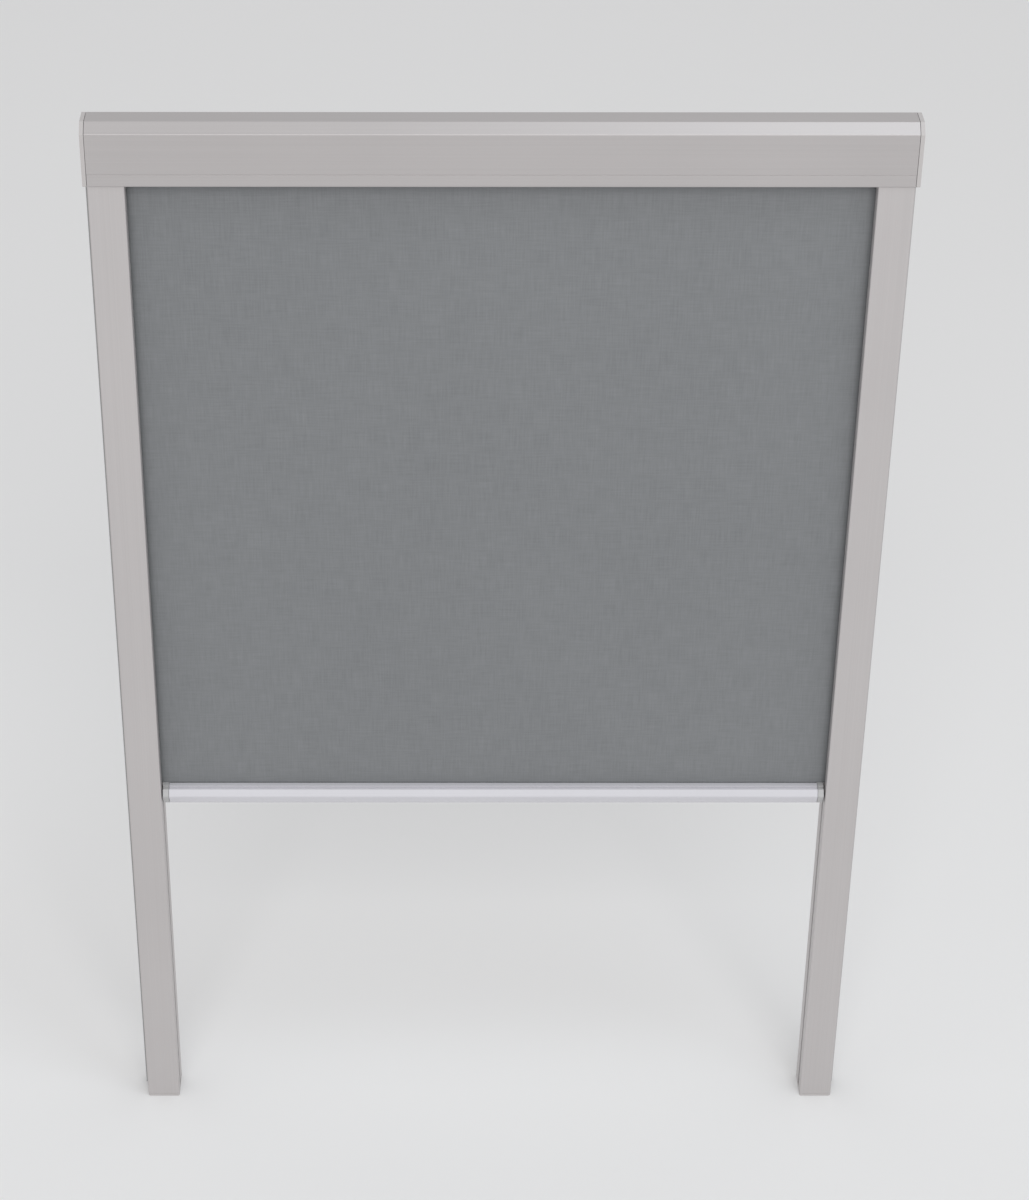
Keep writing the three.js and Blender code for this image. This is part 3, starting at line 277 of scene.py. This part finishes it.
def eased(work, rim, segments=2):
    """Takes the sharp edges off by rim metres."""
    sharp = [e for e in work.edges if len(e.link_faces) == 2 and e.calc_face_angle(0) > SHARP]
    bmesh.ops.bevel(
        work,
        geom=sharp,
        offset=rim,
        offset_type="OFFSET",
        segments=segments,
        profile=0.5,
        affect="EDGES",
        clamp_overlap=True,
        material=-1,
    )
    return work


def piece(name, work, finish, body=None, stands_for=None, smooth_below=50):
    """Makes the finished piece of a bmesh, with flat faces that stay flat and rounded edges that shade round."""
    mesh = bpy.data.meshes.new(name)
    work.to_mesh(mesh)
    work.free()
    mesh.materials.append(finish)
    mesh.shade_smooth()
    mesh.set_sharp_from_angle(angle=math.radians(smooth_below))
    made = bpy.data.objects.new(name, mesh)
    scene.collection.objects.link(made)
    made.modifiers.new("flat faces", "WEIGHTED_NORMAL").keep_sharp = True
    if body:
        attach(made, body)
    if stands_for:
        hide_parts(stands_for)
    return made


def eased_solid(name, node, rim, finish, body="frame", segments=2):
    """The finished piece of a CAD node whose shape is right but for its sharp edges."""
    return piece(name, eased(merged_copy(node), rim, segments), finish, body, node)


# The cassette's aluminium keeps anodised's warm tint, a painted reflection of wood.
ALUMINIUM_ACROSS = anodised("anodised_across", along=0, level=177)
eased_solid("base_extrusion", "cassette_base", BASE_RIM, ALUMINIUM_ACROSS)

# Cassette cover: the aluminium extrusion that shows, with the top strip, the chamfer, the front face, the groove
# and the lip above the cloth. It hooks on the base.
COVER_RIM = 0.25 * MM
eased_solid("cover_extrusion", "cassette_cover", COVER_RIM, ALUMINIUM_ACROSS)

# Gasket: a strip of grey closed-cell foam, cut from a roll and stuck on the bevelled back of the base. It is
# squeezed when the cassette is hung in its place.
FOAM_RIM = 0.5 * MM


def foam(name):
    finish = Finish(bpy.data.materials.new(name))
    cells = finish.cloudy((1500, 1500, 1500), detail=2.0, roughness=0.7)
    patches = finish.cloudy((60, 60, 60), detail=2.0)
    return finish.surface(
        Base_Color=finish.mixed(0.5 + 1.0 * cells + 0.4 * patches, grey(148), grey(176)),
        Roughness=0.95,
        Normal=finish.relief(cells + 0.4 * patches, 0.25 * MM),
    )


FOAM = foam("closed_cell_foam")
eased_solid("gasket_strip", "cassette_gasket", FOAM_RIM, FOAM, segments=3)

# Exit seal: pile strip pushed on the cover's flange. Its tufts stop just short of the cloth and keep the light out.
# Each strip is a woven backing with rows of upright tufts, cut from a long roll.
TUFT_ROWS = 20
TUFT_PITCH = 0.8 * MM
TUFT_WIDTH = 0.99
TUFT_TIPS = (0.97, 1.0)
TUFT_WEAR = 0.06 * MM
random.seed(41)


def pile_finish(name):
    finish = Finish(bpy.data.materials.new(name))
    fibres = finish.cloudy((3200, 3200, 3200), detail=2.0, roughness=0.7)
    tufts = finish.cloudy((420, 420, 420), detail=1.0)
    return finish.surface(
        Base_Color=finish.mixed(0.5 + 1.0 * fibres + 0.8 * tufts, grey(146), grey(190)),
        Roughness=1.0,
        Normal=finish.relief(fibres, 0.2 * MM),
    )


PILE = pile_finish("brush_pile")


def pile_strip(name, node, body, low, high, along, out, backing, tufts_across):
    """Pile between two corners. along is the long axis, out the way that the tufts point, as (axis, sign)."""
    low, high = Vector(low), Vector(high)
    out_axis, sign = out
    across = 3 - along - out_axis
    foot = (low if sign > 0 else high)[out_axis]
    size = high - low
    patches = round(size[along] / (TUFT_PITCH * TUFT_ROWS))
    pitch = size[along] / (patches * TUFT_ROWS)
    work = bmesh.new()

    def block(middle, extent, tip):
        """A block whose end is tip times as wide as its foot."""
        for corner in bmesh.ops.create_cube(work, size=1)["verts"]:
            lean = tip if corner.co[out_axis] * sign > 0 else 1
            corner.co = Vector(
                middle[k] + corner.co[k] * extent[k] * (1 if k == out_axis else lean) for k in range(3)
            )

    extent = Vector(size)
    extent[out_axis] = backing
    extent[along] = pitch * TUFT_ROWS
    middle = (low + high) / 2
    middle[along] = low[along] + extent[along] / 2
    middle[out_axis] = foot + sign * backing / 2
    block(middle, extent, 1)
    for row in range(TUFT_ROWS):
        for column in range(tufts_across):
            height = size[out_axis] - backing * 0.5 - random.uniform(0, TUFT_WEAR)
            extent = Vector()
            extent[along] = pitch * TUFT_WIDTH
            extent[across] = size[across] / tufts_across * TUFT_WIDTH
            extent[out_axis] = height
            middle = Vector()
            middle[along] = low[along] + pitch * (row + 0.5)
            middle[across] = low[across] + size[across] * (column + 0.5) / tufts_across
            middle[out_axis] = foot + sign * (backing * 0.5 + height / 2)
            block(middle, extent, random.uniform(*TUFT_TIPS))
    made = piece(name, work, PILE, smooth_below=60)
    rows = made.modifiers.new("rows", "ARRAY")
    rows.use_relative_offset = False
    rows.use_constant_offset = True
    step = Vector()
    step[along] = pitch * TUFT_ROWS
    rows.constant_offset_displace = step
    rows.count = patches
    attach(made, body)
    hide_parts(node)


low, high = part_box("exit_seal")
inset = Vector((0, 0, (high.z - low.z) / 4))
pile_strip(
    "exit_seal_brush",
    "exit_seal",
    "frame",
    low + inset,
    high - inset,
    along=0,
    out=(1, 1),
    backing=1.0 * MM,
    tufts_across=1,
)

# End caps: grey mouldings with the cassette's outline, two ribs that go inside the extrusions, a boss for the roller
# and a pocket for the bracket.
CAP_RIM = 0.15 * MM


def moulded(name, dark, light, roughness):
    """Moulded plastic with the fine matt texture of its mould."""
    finish = Finish(bpy.data.materials.new(name))
    spark = finish.cloudy((2200, 2200, 2200), detail=2.0, roughness=0.6)
    flow = finish.cloudy((35, 35, 35), detail=2.0)
    return finish.surface(
        Base_Color=finish.mixed(0.5 + 0.8 * spark + 0.6 * flow, dark, light),
        Roughness=roughness + 0.12 * spark,
        Normal=finish.relief(spark, 0.03 * MM),
    )


# The caps' warm tint is a painted reflection of wood, the same as on the aluminium.
CAP_PLASTIC = moulded("cap_plastic", grey(178, 4, -1), grey(188, 4, -1), roughness=0.5)
for side in ("left", "right"):
    node = f"end_cap_{side}"
    work = merged_copy(node)
    # The long hollow faces are cut up before they are eased, or they fill the wrong way round.
    bmesh.ops.connect_verts_concave(work, faces=work.faces)
    piece(f"end_cap_{side}_moulding", eased(work, CAP_RIM), CAP_PLASTIC, "frame", node)

# Cap screws: self-tapping screws of zinc-plated steel, with domed heads and cross recesses. There are two in each
# cap, driven into the ports of the cover and the base.
SCREW_STEPS = 32
DOME_STEPS = 5


def zinc(name):
    finish = Finish(bpy.data.materials.new(name))
    crystals = finish.cloudy((500, 500, 500), detail=3.0, roughness=0.6)
    rub = finish.cloudy((90, 90, 1400), detail=2.0)
    return finish.surface(
        Base_Color=finish.mixed(0.5 + 0.9 * crystals + 0.4 * rub, (0.42, 0.44, 0.46, 1), (0.58, 0.60, 0.61, 1)),
        Metallic=1.0,
        Roughness=0.34 + 0.18 * crystals,
        Normal=finish.relief(crystals, 0.01 * MM),
    )


def lathed(profile, steps, start=(0, 0, 0)):
    """Turns a line of [radius, x] points round the axis along X through start."""
    work = bmesh.new()
    line = [work.verts.new((x, radius, 0)) for radius, x in profile]
    edges = [work.edges.new(pair) for pair in zip(line, line[1:])]
    bmesh.ops.spin(
        work,
        geom=line + edges,
        cent=(0, 0, 0),
        axis=(1, 0, 0),
        dvec=(0, 0, 0),
        angle=2 * math.pi,
        steps=steps,
        use_merge=True,
        use_duplicate=False,
    )
    bmesh.ops.remove_doubles(work, verts=work.verts, dist=SAME_PLACE)
    # A stretch of the line that lies on the axis makes no face.
    bmesh.ops.delete(work, geom=[e for e in work.edges if not e.link_faces], context="EDGES")
    bmesh.ops.recalc_face_normals(work, faces=work.faces)
    bmesh.ops.translate(work, verts=work.verts, vec=start)
    return work


def carved(work, tool):
    """Takes the solid of one bmesh out of another. The parts of the tool may cross each other."""
    parts = []
    for name, solid in (("carved", work), ("tool", tool)):
        mesh = bpy.data.meshes.new(name)
        solid.to_mesh(mesh)
        solid.free()
        part = bpy.data.objects.new(name, mesh)
        scene.collection.objects.link(part)
        parts.append(part)
    cut = parts[0].modifiers.new("cut", "BOOLEAN")
    cut.operation = "DIFFERENCE"
    cut.solver = "EXACT"
    cut.use_self = True
    cut.object = parts[1]
    result = bmesh.new()
    result.from_mesh(parts[0].evaluated_get(bpy.context.evaluated_depsgraph_get()).data)
    for part in parts:
        bpy.data.objects.remove(part)
    return result


def screw(radius, length, head_radius, head):
    """A self-tapping screw along +X with the top of its domed head at 0, a cross recess and a thread."""
    crest = 0.92 * radius
    core = 0.8 * crest
    pitch = 0.75 * radius
    point = 1.6 * radius
    line = []
    for k in range(DOME_STEPS + 1):
        angle = k * math.pi / (2 * DOME_STEPS)
        line.append([head_radius * math.sin(angle), head * 0.5 * (1 - math.cos(angle))])
    line += [[head_radius, head], [core, head]]
    place = head + pitch
    while place < head + length - point:
        line += [[core, place], [crest, place + pitch * 0.35], [core, place + pitch * 0.7]]
        place += pitch
    work = lathed(line + [[0, head + length]], SCREW_STEPS)
    recess = 0.55 * head
    tool = bmesh.new()
    for turn in (0, math.pi / 2):
        arm = bmesh.ops.create_cube(tool, size=1)["verts"]
        bmesh.ops.scale(tool, vec=(2 * recess, head_radius * 1.05, head_radius * 0.26), verts=arm)
        bmesh.ops.rotate(tool, cent=(0, 0, 0), matrix=Matrix.Rotation(turn, 3, "X"), verts=arm)
    return carved(work, tool)


ZINC = zinc("zinc_plate")
for side in ("left", "right"):
    for where in ("upper", "lower"):
        node = f"end_cap_screw_{side}_{where}"
        low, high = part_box(node)
        head_x, turn = (low.x, 0) if side == "left" else (high.x, math.pi)
        work = screw(radius=1.35 * MM, length=12 * MM, head_radius=2.8 * MM, head=1.4 * MM)
        bmesh.ops.rotate(work, cent=(0, 0, 0), matrix=Matrix.Rotation(turn, 3, "Z"), verts=work.verts)
        start = (head_x, (low.y + high.y) / 2, (low.z + high.z) / 2)
        bmesh.ops.translate(work, vec=start, verts=work.verts)
        piece(f"cap_screw_{side}_{where}", work, ZINC, "frame", node, smooth_below=40)

# Brackets: small plates of zinc-plated steel, cut and bent, one for each end. They are screwed on first, and the
# caps hang on their tongues.
BRACKET_RIM = 0.2 * MM
for side in ("left", "right"):
    eased_solid(f"bracket_{side}_plate", f"mounting_bracket_{side}", BRACKET_RIM, ZINC)

# Roller tube: drawn aluminium, 25 mm across, left as it comes from the die. It turns on the bushes in its ends and
# carries the cloth.
AXIS_Y, AXIS_Z = -19.496 * MM, 5.349 * MM
TUBE_RADIUS = 12.5 * MM
TUBE_BORE = 11.3 * MM
TUBE_END = 292 * MM
TUBE_STEPS = 64
TUBE_RIM = 0.15 * MM


def drawn_tube(name):
    finish = Finish(bpy.data.materials.new(name))
    lines = finish.cloudy((3, 900, 900), detail=3.0)
    patches = finish.cloudy((12, 30, 30), detail=2.0)
    return finish.surface(
        Base_Color=finish.mixed(0.5 + lines + 0.6 * patches, grey(160), grey(186)),
        Metallic=0.9,
        Roughness=0.36 + 0.12 * lines,
        Normal=finish.relief(lines, 0.015 * MM),
    )


def turned(line, steps, rim):
    """A part of the roller, turned round its axis from a line of [radius, x] points, with eased edges."""
    return eased(lathed(line, steps, (0, AXIS_Y, AXIS_Z)), rim)


tube_ring = [
    [TUBE_BORE, -TUBE_END],
    [TUBE_RADIUS, -TUBE_END],
    [TUBE_RADIUS, TUBE_END],
    [TUBE_BORE, TUBE_END],
    [TUBE_BORE, -TUBE_END],
]
tube_work = turned(tube_ring, TUBE_STEPS, TUBE_RIM)
piece("drawn_roller_tube", tube_work, drawn_tube("drawn_aluminium"), "roller", "roller_tube")

# Bushes of the roller: white moulded plugs pushed into the ends of the tube, and the plug inside it that the spring
# turns.
WHITE_PLASTIC = moulded("white_plastic", grey(219), grey(234), roughness=0.42)
PLUG_RADIUS = 11.17 * MM
PLUG_RIM = 0.25 * MM
FLANGE = 1.5 * MM
SHAFT_BORE = 4.08 * MM
PIN_BORE = 3.08 * MM
DRIVER_BORE_DEPTH = 10 * MM


def bush(name, node, bore, sign):
    """A bush with its flange outside the tube. sign is the side of the blind that it is on."""
    low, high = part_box(node)
    outer, inner = (high.x, low.x) if sign > 0 else (low.x, high.x)
    flange = outer - sign * FLANGE
    line = [[bore, outer], [TUBE_RADIUS, outer], [TUBE_RADIUS, flange], [PLUG_RADIUS, flange]]
    line += [[PLUG_RADIUS, inner], [bore, inner], [bore, outer]]
    work = turned(line, TUBE_STEPS, PLUG_RIM)
    piece(name, work, WHITE_PLASTIC, "roller", node)


bush("spring_bush", "spring_bearing", SHAFT_BORE, -1)
bush("idle_bush", "idle_plug", PIN_BORE, 1)
low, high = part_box("spring_plug")
driver_line = [
    [SHAFT_BORE, low.x],
    [PLUG_RADIUS, low.x],
    [PLUG_RADIUS, high.x],
    [0, high.x],
    [0, low.x + DRIVER_BORE_DEPTH],
    [SHAFT_BORE, low.x + DRIVER_BORE_DEPTH],
    [SHAFT_BORE, low.x],
]
driver_work = turned(driver_line, TUBE_STEPS, PLUG_RIM)
piece("spring_driver", driver_work, WHITE_PLASTIC, "roller", "spring_plug")

# Shaft and pin: turned from steel bar and zinc-plated. They stand still, with the shaft's square end in the left cap
# and the pin in the right one. Their collars keep the bushes off the caps.
SHAFT_STEPS = 48
SHAFT_RIM = 0.2 * MM
SHAFT_RADIUS = 4 * MM
PIN_RADIUS = 3 * MM
COLLAR_RADIUS = 6 * MM
COLLAR_WIDTH = 1.3 * MM
SHAFT_COLLAR = -295.4 * MM
PIN_COLLAR = 294.1 * MM
SPRING_PLATE = -278.7 * MM
SPRING_PLATE_RADIUS = 7.7 * MM
SPRING_PLATE_WIDTH = 1.5 * MM
SQUARE_SIDE = 6 * MM
SQUARE_IN_COLLAR = 0.4 * MM


def rod(*lengths):
    """The line of a turned rod. Each length is its radius and where it begins and ends along X."""
    line = [[0, lengths[0][1]]]
    for radius, begin, end in lengths:
        line += [[radius, begin], [radius, end]]
    return line + [[0, lengths[-1][2]]]


low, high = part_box("spring_shaft")
shaft_line = rod(
    (COLLAR_RADIUS, SHAFT_COLLAR, SHAFT_COLLAR + COLLAR_WIDTH),
    (SHAFT_RADIUS, SHAFT_COLLAR + COLLAR_WIDTH, SPRING_PLATE),
    (SPRING_PLATE_RADIUS, SPRING_PLATE, SPRING_PLATE + SPRING_PLATE_WIDTH),
    (SHAFT_RADIUS, SPRING_PLATE + SPRING_PLATE_WIDTH, high.x),
)
shaft = turned(shaft_line, SHAFT_STEPS, SHAFT_RIM)
square = bmesh.ops.create_cube(shaft, size=1)["verts"]
square_length = SHAFT_COLLAR + SQUARE_IN_COLLAR - low.x
bmesh.ops.scale(shaft, vec=(square_length, SQUARE_SIDE, SQUARE_SIDE), verts=square)
bmesh.ops.translate(shaft, vec=(low.x + square_length / 2, AXIS_Y, AXIS_Z), verts=square)
piece("turned_shaft", shaft, ZINC, "frame", "spring_shaft")
low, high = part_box("idle_pin")
pin_line = rod(
    (PIN_RADIUS, low.x, PIN_COLLAR),
    (COLLAR_RADIUS, PIN_COLLAR, PIN_COLLAR + COLLAR_WIDTH),
    (PIN_RADIUS, PIN_COLLAR + COLLAR_WIDTH, high.x),
)
piece("turned_pin", turned(pin_line, SHAFT_STEPS, SHAFT_RIM), ZINC, "frame", "idle_pin")

# Torsion spring: 24 turns of round spring wire, wound cold and slid on the shaft. It works between the shaft's fixed
# plate and the driver, and pulls the cloth up.
COIL_STEPS = 24
SPRING_WIRE = 1.4 * MM
SPRING_RADIUS = 7 * MM
SPRING_PITCH = 6 * MM
SPRING_TURNS = 24


def coil(start, centre, radius, wire, pitch, turns, sides):
    """A coil along X, from the middle of its first turn."""
    work = bmesh.new()
    ring = bmesh.ops.create_circle(work, cap_ends=False, radius=wire / 2, segments=sides)["verts"]
    bmesh.ops.translate(work, vec=(start, centre[0] + radius, centre[1]), verts=ring)
    bmesh.ops.spin(
        work,
        geom=work.verts[:] + work.edges[:],
        cent=(start, *centre),
        axis=(1, 0, 0),
        dvec=(pitch / COIL_STEPS, 0, 0),
        angle=2 * math.pi * turns,
        steps=COIL_STEPS * turns,
        use_duplicate=False,
    )
    bmesh.ops.holes_fill(work, edges=[e for e in work.edges if e.is_boundary])
    bmesh.ops.recalc_face_normals(work, faces=work.faces)
    return work


low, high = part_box("torsion_spring")
spring_work = coil(
    low.x + SPRING_WIRE / 2,
    (AXIS_Y, AXIS_Z),
    SPRING_RADIUS,
    SPRING_WIRE,
    SPRING_PITCH,
    SPRING_TURNS,
    sides=10,
)
piece("wound_torsion_spring", spring_work, ZINC, "frame", "torsion_spring", smooth_below=60)

# Blackout cloth: grey plain weave on its front and a pale coating on its back. One length hangs from the front of
# the roll, runs down between the rails' brushes and loops round the cord in the bar; the rest is wound up.
CLOTH = 0.36 * MM
CLOTH_EDGE = 284.1 * MM
THREAD = 0.5 * MM
ROLL_INNER = 12.55 * MM
ROLL_OUTER = 14.4 * MM
ROLL_STEPS = 48
ROLL_LAYER = 0.94 * CLOTH
LEAVES_ROLL = math.radians(65)
LEAVING_STEPS = 14
CLEARANCE = 0.02 * MM
HANG_Y = -34.378 * MM
# Heights on its way down: where it hangs straight, the stretch that changes as the bar moves, and the bar.
STRAIGHT_FROM = -14 * MM
HELD_TO = -17.2 * MM
BAR_TOP = -559.498 * MM
GRIPPED_FROM = BAR_TOP + 1.4 * MM
HEM_TOP = BAR_TOP + 0.3 * MM
HEM_EDGE = 268.6 * MM
MOUTH_FOOT = BAR_TOP - 0.6 * MM
CORD_Z = BAR_TOP - 3.9 * MM
CORD_RADIUS = 1.7 * MM
CORD_GAP = 0.01 * MM
LOOP_STEPS = 26
HALF_WAY = -0.3


def woven(name, wound):
    """The front of the cloth. The wound length follows its own length in a UV map."""
    finish = Finish(bpy.data.materials.new(name))
    if wound:
        flat = finish.node("ShaderNodeUVMap", {"uv_map": "length"})
        warp, weft, _ = finish.parts(flat)
    else:
        warp, _, weft = finish.parts(finish.here())
        flat = finish.node("ShaderNodeCombineXYZ", {}, {"X": warp, "Y": weft, "Z": 0.0})
    wave = math.pi / THREAD
    weave = (wave * warp).sine() * (wave * weft).sine()
    upright = finish.cloudy((900, 45, 1), vector=flat)
    level = finish.cloudy((50, 800, 1), vector=flat)
    mottle = finish.cloudy((70, 60, 1), detail=3.0, vector=flat)
    broad = finish.cloudy((6, 5, 1), vector=flat)
    tone = 0.5 + 0.22 * weave + 0.7 * upright + 0.6 * level + 0.3 * mottle + 0.25 * broad
    return finish.surface(
        Base_Color=finish.mixed(tone, grey(115, -2, 2), grey(137, -2, 2)),
        Roughness=0.92,
        Normal=finish.relief(weave + 0.8 * upright + 0.8 * level, 0.05 * MM, 0.8),
    )


def coated(name):
    """The coating on the back of the cloth, with the weave just showing through it."""
    finish = Finish(bpy.data.materials.new(name))
    print_through = finish.cloudy((1100, 400, 400), detail=2.0)
    patches = finish.cloudy((14, 14, 14), detail=3.0)
    return finish.surface(
        Base_Color=finish.mixed(0.5 + 0.7 * print_through + 0.6 * patches, grey(196), grey(212)),
        Roughness=0.6,
        Normal=finish.relief(print_through, 0.03 * MM),
    )


COATING = coated("blackout_coating")


def line_on(work, vertex, y, z):
    """Draws the edge of the cloth on, from vertex to a place in the section."""
    new = bmesh.ops.extrude_vert_indiv(work, verts=[vertex])["verts"][0]
    new.co.y, new.co.z = y, z
    return new


def curve_on(work, vertex, cent, angle, steps):
    """Draws the edge of the cloth on, round a centre in the section."""
    made = bmesh.ops.spin(
        work, geom=[vertex], cent=(vertex.co.x, *cent), axis=(1, 0, 0), angle=angle, steps=steps, use_duplicate=False
    )
    return [v for v in made["geom_last"] if isinstance(v, bmesh.types.BMVert)][0]


def lies_at(edge, x):
    return all(abs(v.co.x - x) < SAME_PLACE for v in edge.verts)


def widen(work, to_x):
    """Draws the last edge of the cloth out to to_x, as faces."""
    last_x = max(v.co.x for v in work.verts)
    edges = [e for e in work.edges if lies_at(e, last_x)]
    for v in bmesh.ops.extrude_edge_only(work, edges=edges)["geom"]:
        if isinstance(v, bmesh.types.BMVert):
            v.co.x = to_x


def thicken(cloth, thickness):
    """Gives a sheet of cloth its thickness, with the coating on its back."""
    cloth.data.materials.append(COATING)
    layer = cloth.modifiers.new("thickness", "SOLIDIFY")
    layer.thickness = thickness
    layer.offset = 0
    layer.material_offset = 1


first_turn = ROLL_OUTER + CLOTH / 2 + CLEARANCE
loop = CORD_RADIUS + CLOTH / 2 + CORD_GAP
side_step = CLOTH / 2 + CLEARANCE
neck = math.asin(side_step / loop)
work = bmesh.new()
at = work.verts.new(
    (-CLOTH_EDGE, AXIS_Y - first_turn * math.cos(LEAVES_ROLL), AXIS_Z + first_turn * math.sin(LEAVES_ROLL))
)
at = curve_on(work, at, (AXIS_Y, AXIS_Z), LEAVES_ROLL, LEAVING_STEPS)
for height in (STRAIGHT_FROM, HELD_TO, GRIPPED_FROM, HEM_TOP):
    at = line_on(work, at, HANG_Y, height)
for height in (MOUTH_FOOT, CORD_Z + loop * math.cos(neck)):
    at = line_on(work, at, HANG_Y - side_step, height)
at = curve_on(work, at, (HANG_Y, CORD_Z), 2 * math.pi - 2 * neck, LOOP_STEPS)
line_on(work, at, HANG_Y + side_step, MOUTH_FOOT)
for edge_x in (-HEM_EDGE, HEM_EDGE, CLOTH_EDGE):
    widen(work, edge_x)
beside_hem = [
    f for f in work.faces if f.calc_center_median().z < HEM_TOP and abs(f.calc_center_median().x) > HEM_EDGE
]
bmesh.ops.delete(work, geom=beside_hem, context="FACES")
bmesh.ops.recalc_face_normals(work, faces=work.faces)
front = min(work.faces, key=lambda f: abs(f.calc_center_median().z - HALF_WAY))
if front.normal.y > 0:
    bmesh.ops.reverse_faces(work, faces=work.faces)
cloth = piece("hanging_cloth", work, woven("plain_weave", wound=False), smooth_below=60)
thicken(cloth, CLOTH)
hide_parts("fabric_sheet")
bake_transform(cloth)

turns = (ROLL_OUTER - ROLL_INNER) / CLOTH
spiral_steps = round(turns * ROLL_STEPS)


def on_spiral(step):
    """The y and z of the wound cloth, step steps from its inner end."""
    radius = ROLL_INNER + CLOTH / 2 + (ROLL_OUTER - ROLL_INNER - CLOTH) * step / spiral_steps
    angle = LEAVES_ROLL + 2 * math.pi * (step - spiral_steps) / ROLL_STEPS
    return AXIS_Y - radius * math.cos(angle), AXIS_Z + radius * math.sin(angle)


def in_section(vertex):
    return round(vertex.co.y, 7), round(vertex.co.z, 7)


work = bmesh.new()
at = work.verts.new((-CLOTH_EDGE, *on_spiral(0)))
lengths = [0.0]
for step in range(1, spiral_steps + 1):
    before = at.co.copy()
    at = line_on(work, at, *on_spiral(step))
    lengths.append(lengths[-1] + (at.co - before).length)
length_at = {in_section(v): length for v, length in zip(work.verts, lengths)}
widen(work, CLOTH_EDGE)
uv = work.loops.layers.uv.new("length")
for face in work.faces:
    for corner in face.loops:
        corner[uv].uv = (corner.vert.co.x, length_at[in_section(corner.vert)])
wound = piece("wound_cloth", work, woven("plain_weave_wound", wound=True), "roller", smooth_below=60)
thicken(wound, ROLL_LAYER)
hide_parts("fabric_roll")

# Hem cord: round plastic cord, pushed through the loop of the cloth. It is thicker than the mouth of the bar's
# channel is wide, so it holds the hem in it.
CORD_STEPS = 24
CORD_RIM = 0.3 * MM
low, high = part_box("fabric_spline")
cord_line = rod((CORD_RADIUS, low.x, high.x))
cord_work = eased(lathed(cord_line, CORD_STEPS, (0, HANG_Y, CORD_Z)), CORD_RIM)
piece("hem_cord", cord_work, WHITE_PLASTIC, "bottom_bar", "fabric_spline")

# Side rails: two aluminium extrusions on each side. The channel is screwed on through its outer side, and the face
# clips over it and hides the screws. Brushes close the slot on the cloth, foam tape lies along the outer side, and
# a moulded foot closes the lower end.
RAIL_RIM = 0.12 * MM
FOOT_RIM = 0.3 * MM
# The rails' aluminium keeps anodised's warm tint, a painted reflection of wood.
ALUMINIUM_UPRIGHT = anodised("anodised_upright", along=2, level=187)
for side in ("left", "right"):
    for name, node in (("rail_channel", "rail_channel"), ("rail_face", "rail_cover")):
        eased_solid(
            f"{name}_{side}_extrusion", f"{node}_{side}", RAIL_RIM, ALUMINIUM_UPRIGHT
        )
    for where, sign in (("front", 1), ("rear", -1)):
        node = f"rail_pile_{where}_{side}"
        pile_strip(
            f"rail_brush_{where}_{side}",
            node,
            "frame",
            *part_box(node),
            along=2,
            out=(1, sign),
            backing=0.5 * MM,
            tufts_across=3,
        )
    eased_solid(f"rail_tape_{side}_strip", f"rail_tape_{side}", FOAM_RIM, FOAM, segments=3)
    eased_solid(f"rail_foot_{side}_moulding", f"rail_foot_{side}", FOOT_RIM, CAP_PLASTIC)

# Pull bar: the aluminium extrusion that the cloth hangs in, with a ledge, a finger groove and a rounded nose. Its
# grey is paler than the cassette's, painted light that brightens its ledge in the shade of the cloth, and its blue
# tint is a painted reflection of the sky.
BAR_RIM = 0.15 * MM
# Level 205 is painted light, and red 1 with blue 5 is a painted reflection of the sky.
ALUMINIUM_BAR = anodised("anodised_bar", along=0, level=205, red=1.0, blue=5.0, metal=0.0)
eased_solid("pull_bar", "bottom_bar", BAR_RIM, ALUMINIUM_BAR, "bottom_bar")

# Bar seal: pile strip, pushed into the channel in the underside of the bar. It keeps the light out there when the
# blind is shut.
pile_strip(
    "bar_seal_brush",
    "bar_seal",
    "bottom_bar",
    *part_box("bar_seal"),
    along=0,
    out=(2, -1),
    backing=0.6 * MM,
    tufts_across=3,
)

# Ends of the bar: grey caps, held by a screw each from behind, white glides that run in the rails, and sprung brake
# shoes that press on the inside of the rails. Caps, glides and shoes are moulded, and the shoes' springs are wound
# from steel wire.
BAR_END_RIM = 0.25 * MM
GLIDE_RIM = 0.35 * MM
SHOE_WIRE = 0.5 * MM
SHOE_COIL = 1.15 * MM
SHOE_TURNS = 4
BAR_PLASTIC = moulded("bar_plastic", grey(176), grey(188), roughness=0.5)
for side in ("left", "right"):
    eased_solid(
        f"bar_cap_{side}_moulding",
        f"bar_end_cap_{side}",
        BAR_END_RIM,
        BAR_PLASTIC,
        "bottom_bar",
    )
    node = f"bar_cap_screw_{side}"
    low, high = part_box(node)
    work = screw(radius=1.2 * MM, length=5 * MM, head_radius=2.4 * MM, head=1.2 * MM)
    bmesh.ops.rotate(work, cent=(0, 0, 0), matrix=Matrix.Rotation(-math.pi / 2, 3, "Z"), verts=work.verts)
    bmesh.ops.translate(work, vec=((low.x + high.x) / 2, high.y, (low.z + high.z) / 2), verts=work.verts)
    piece(f"bar_screw_{side}", work, ZINC, "bottom_bar", node, smooth_below=40)
    eased_solid(
        f"glide_{side}",
        f"bar_slider_{side}",
        GLIDE_RIM,
        WHITE_PLASTIC,
        "bottom_bar",
        segments=3,
    )
    shoe = f"brake_shoe_{side}"
    eased_solid(f"shoe_{side}", shoe, BAR_END_RIM, BAR_PLASTIC, shoe)
    node = f"brake_spring_{side}"
    low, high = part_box(node)
    middle = ((low.y + high.y) / 2, (low.z + high.z) / 2)
    pitch = (high.x - low.x - SHOE_WIRE) / SHOE_TURNS
    work = coil(low.x + SHOE_WIRE / 2, middle, SHOE_COIL, SHOE_WIRE, pitch, SHOE_TURNS, sides=8)
    shoe_spring = piece(f"shoe_spring_{side}", work, ZINC, None, node, smooth_below=60)
    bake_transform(shoe_spring)
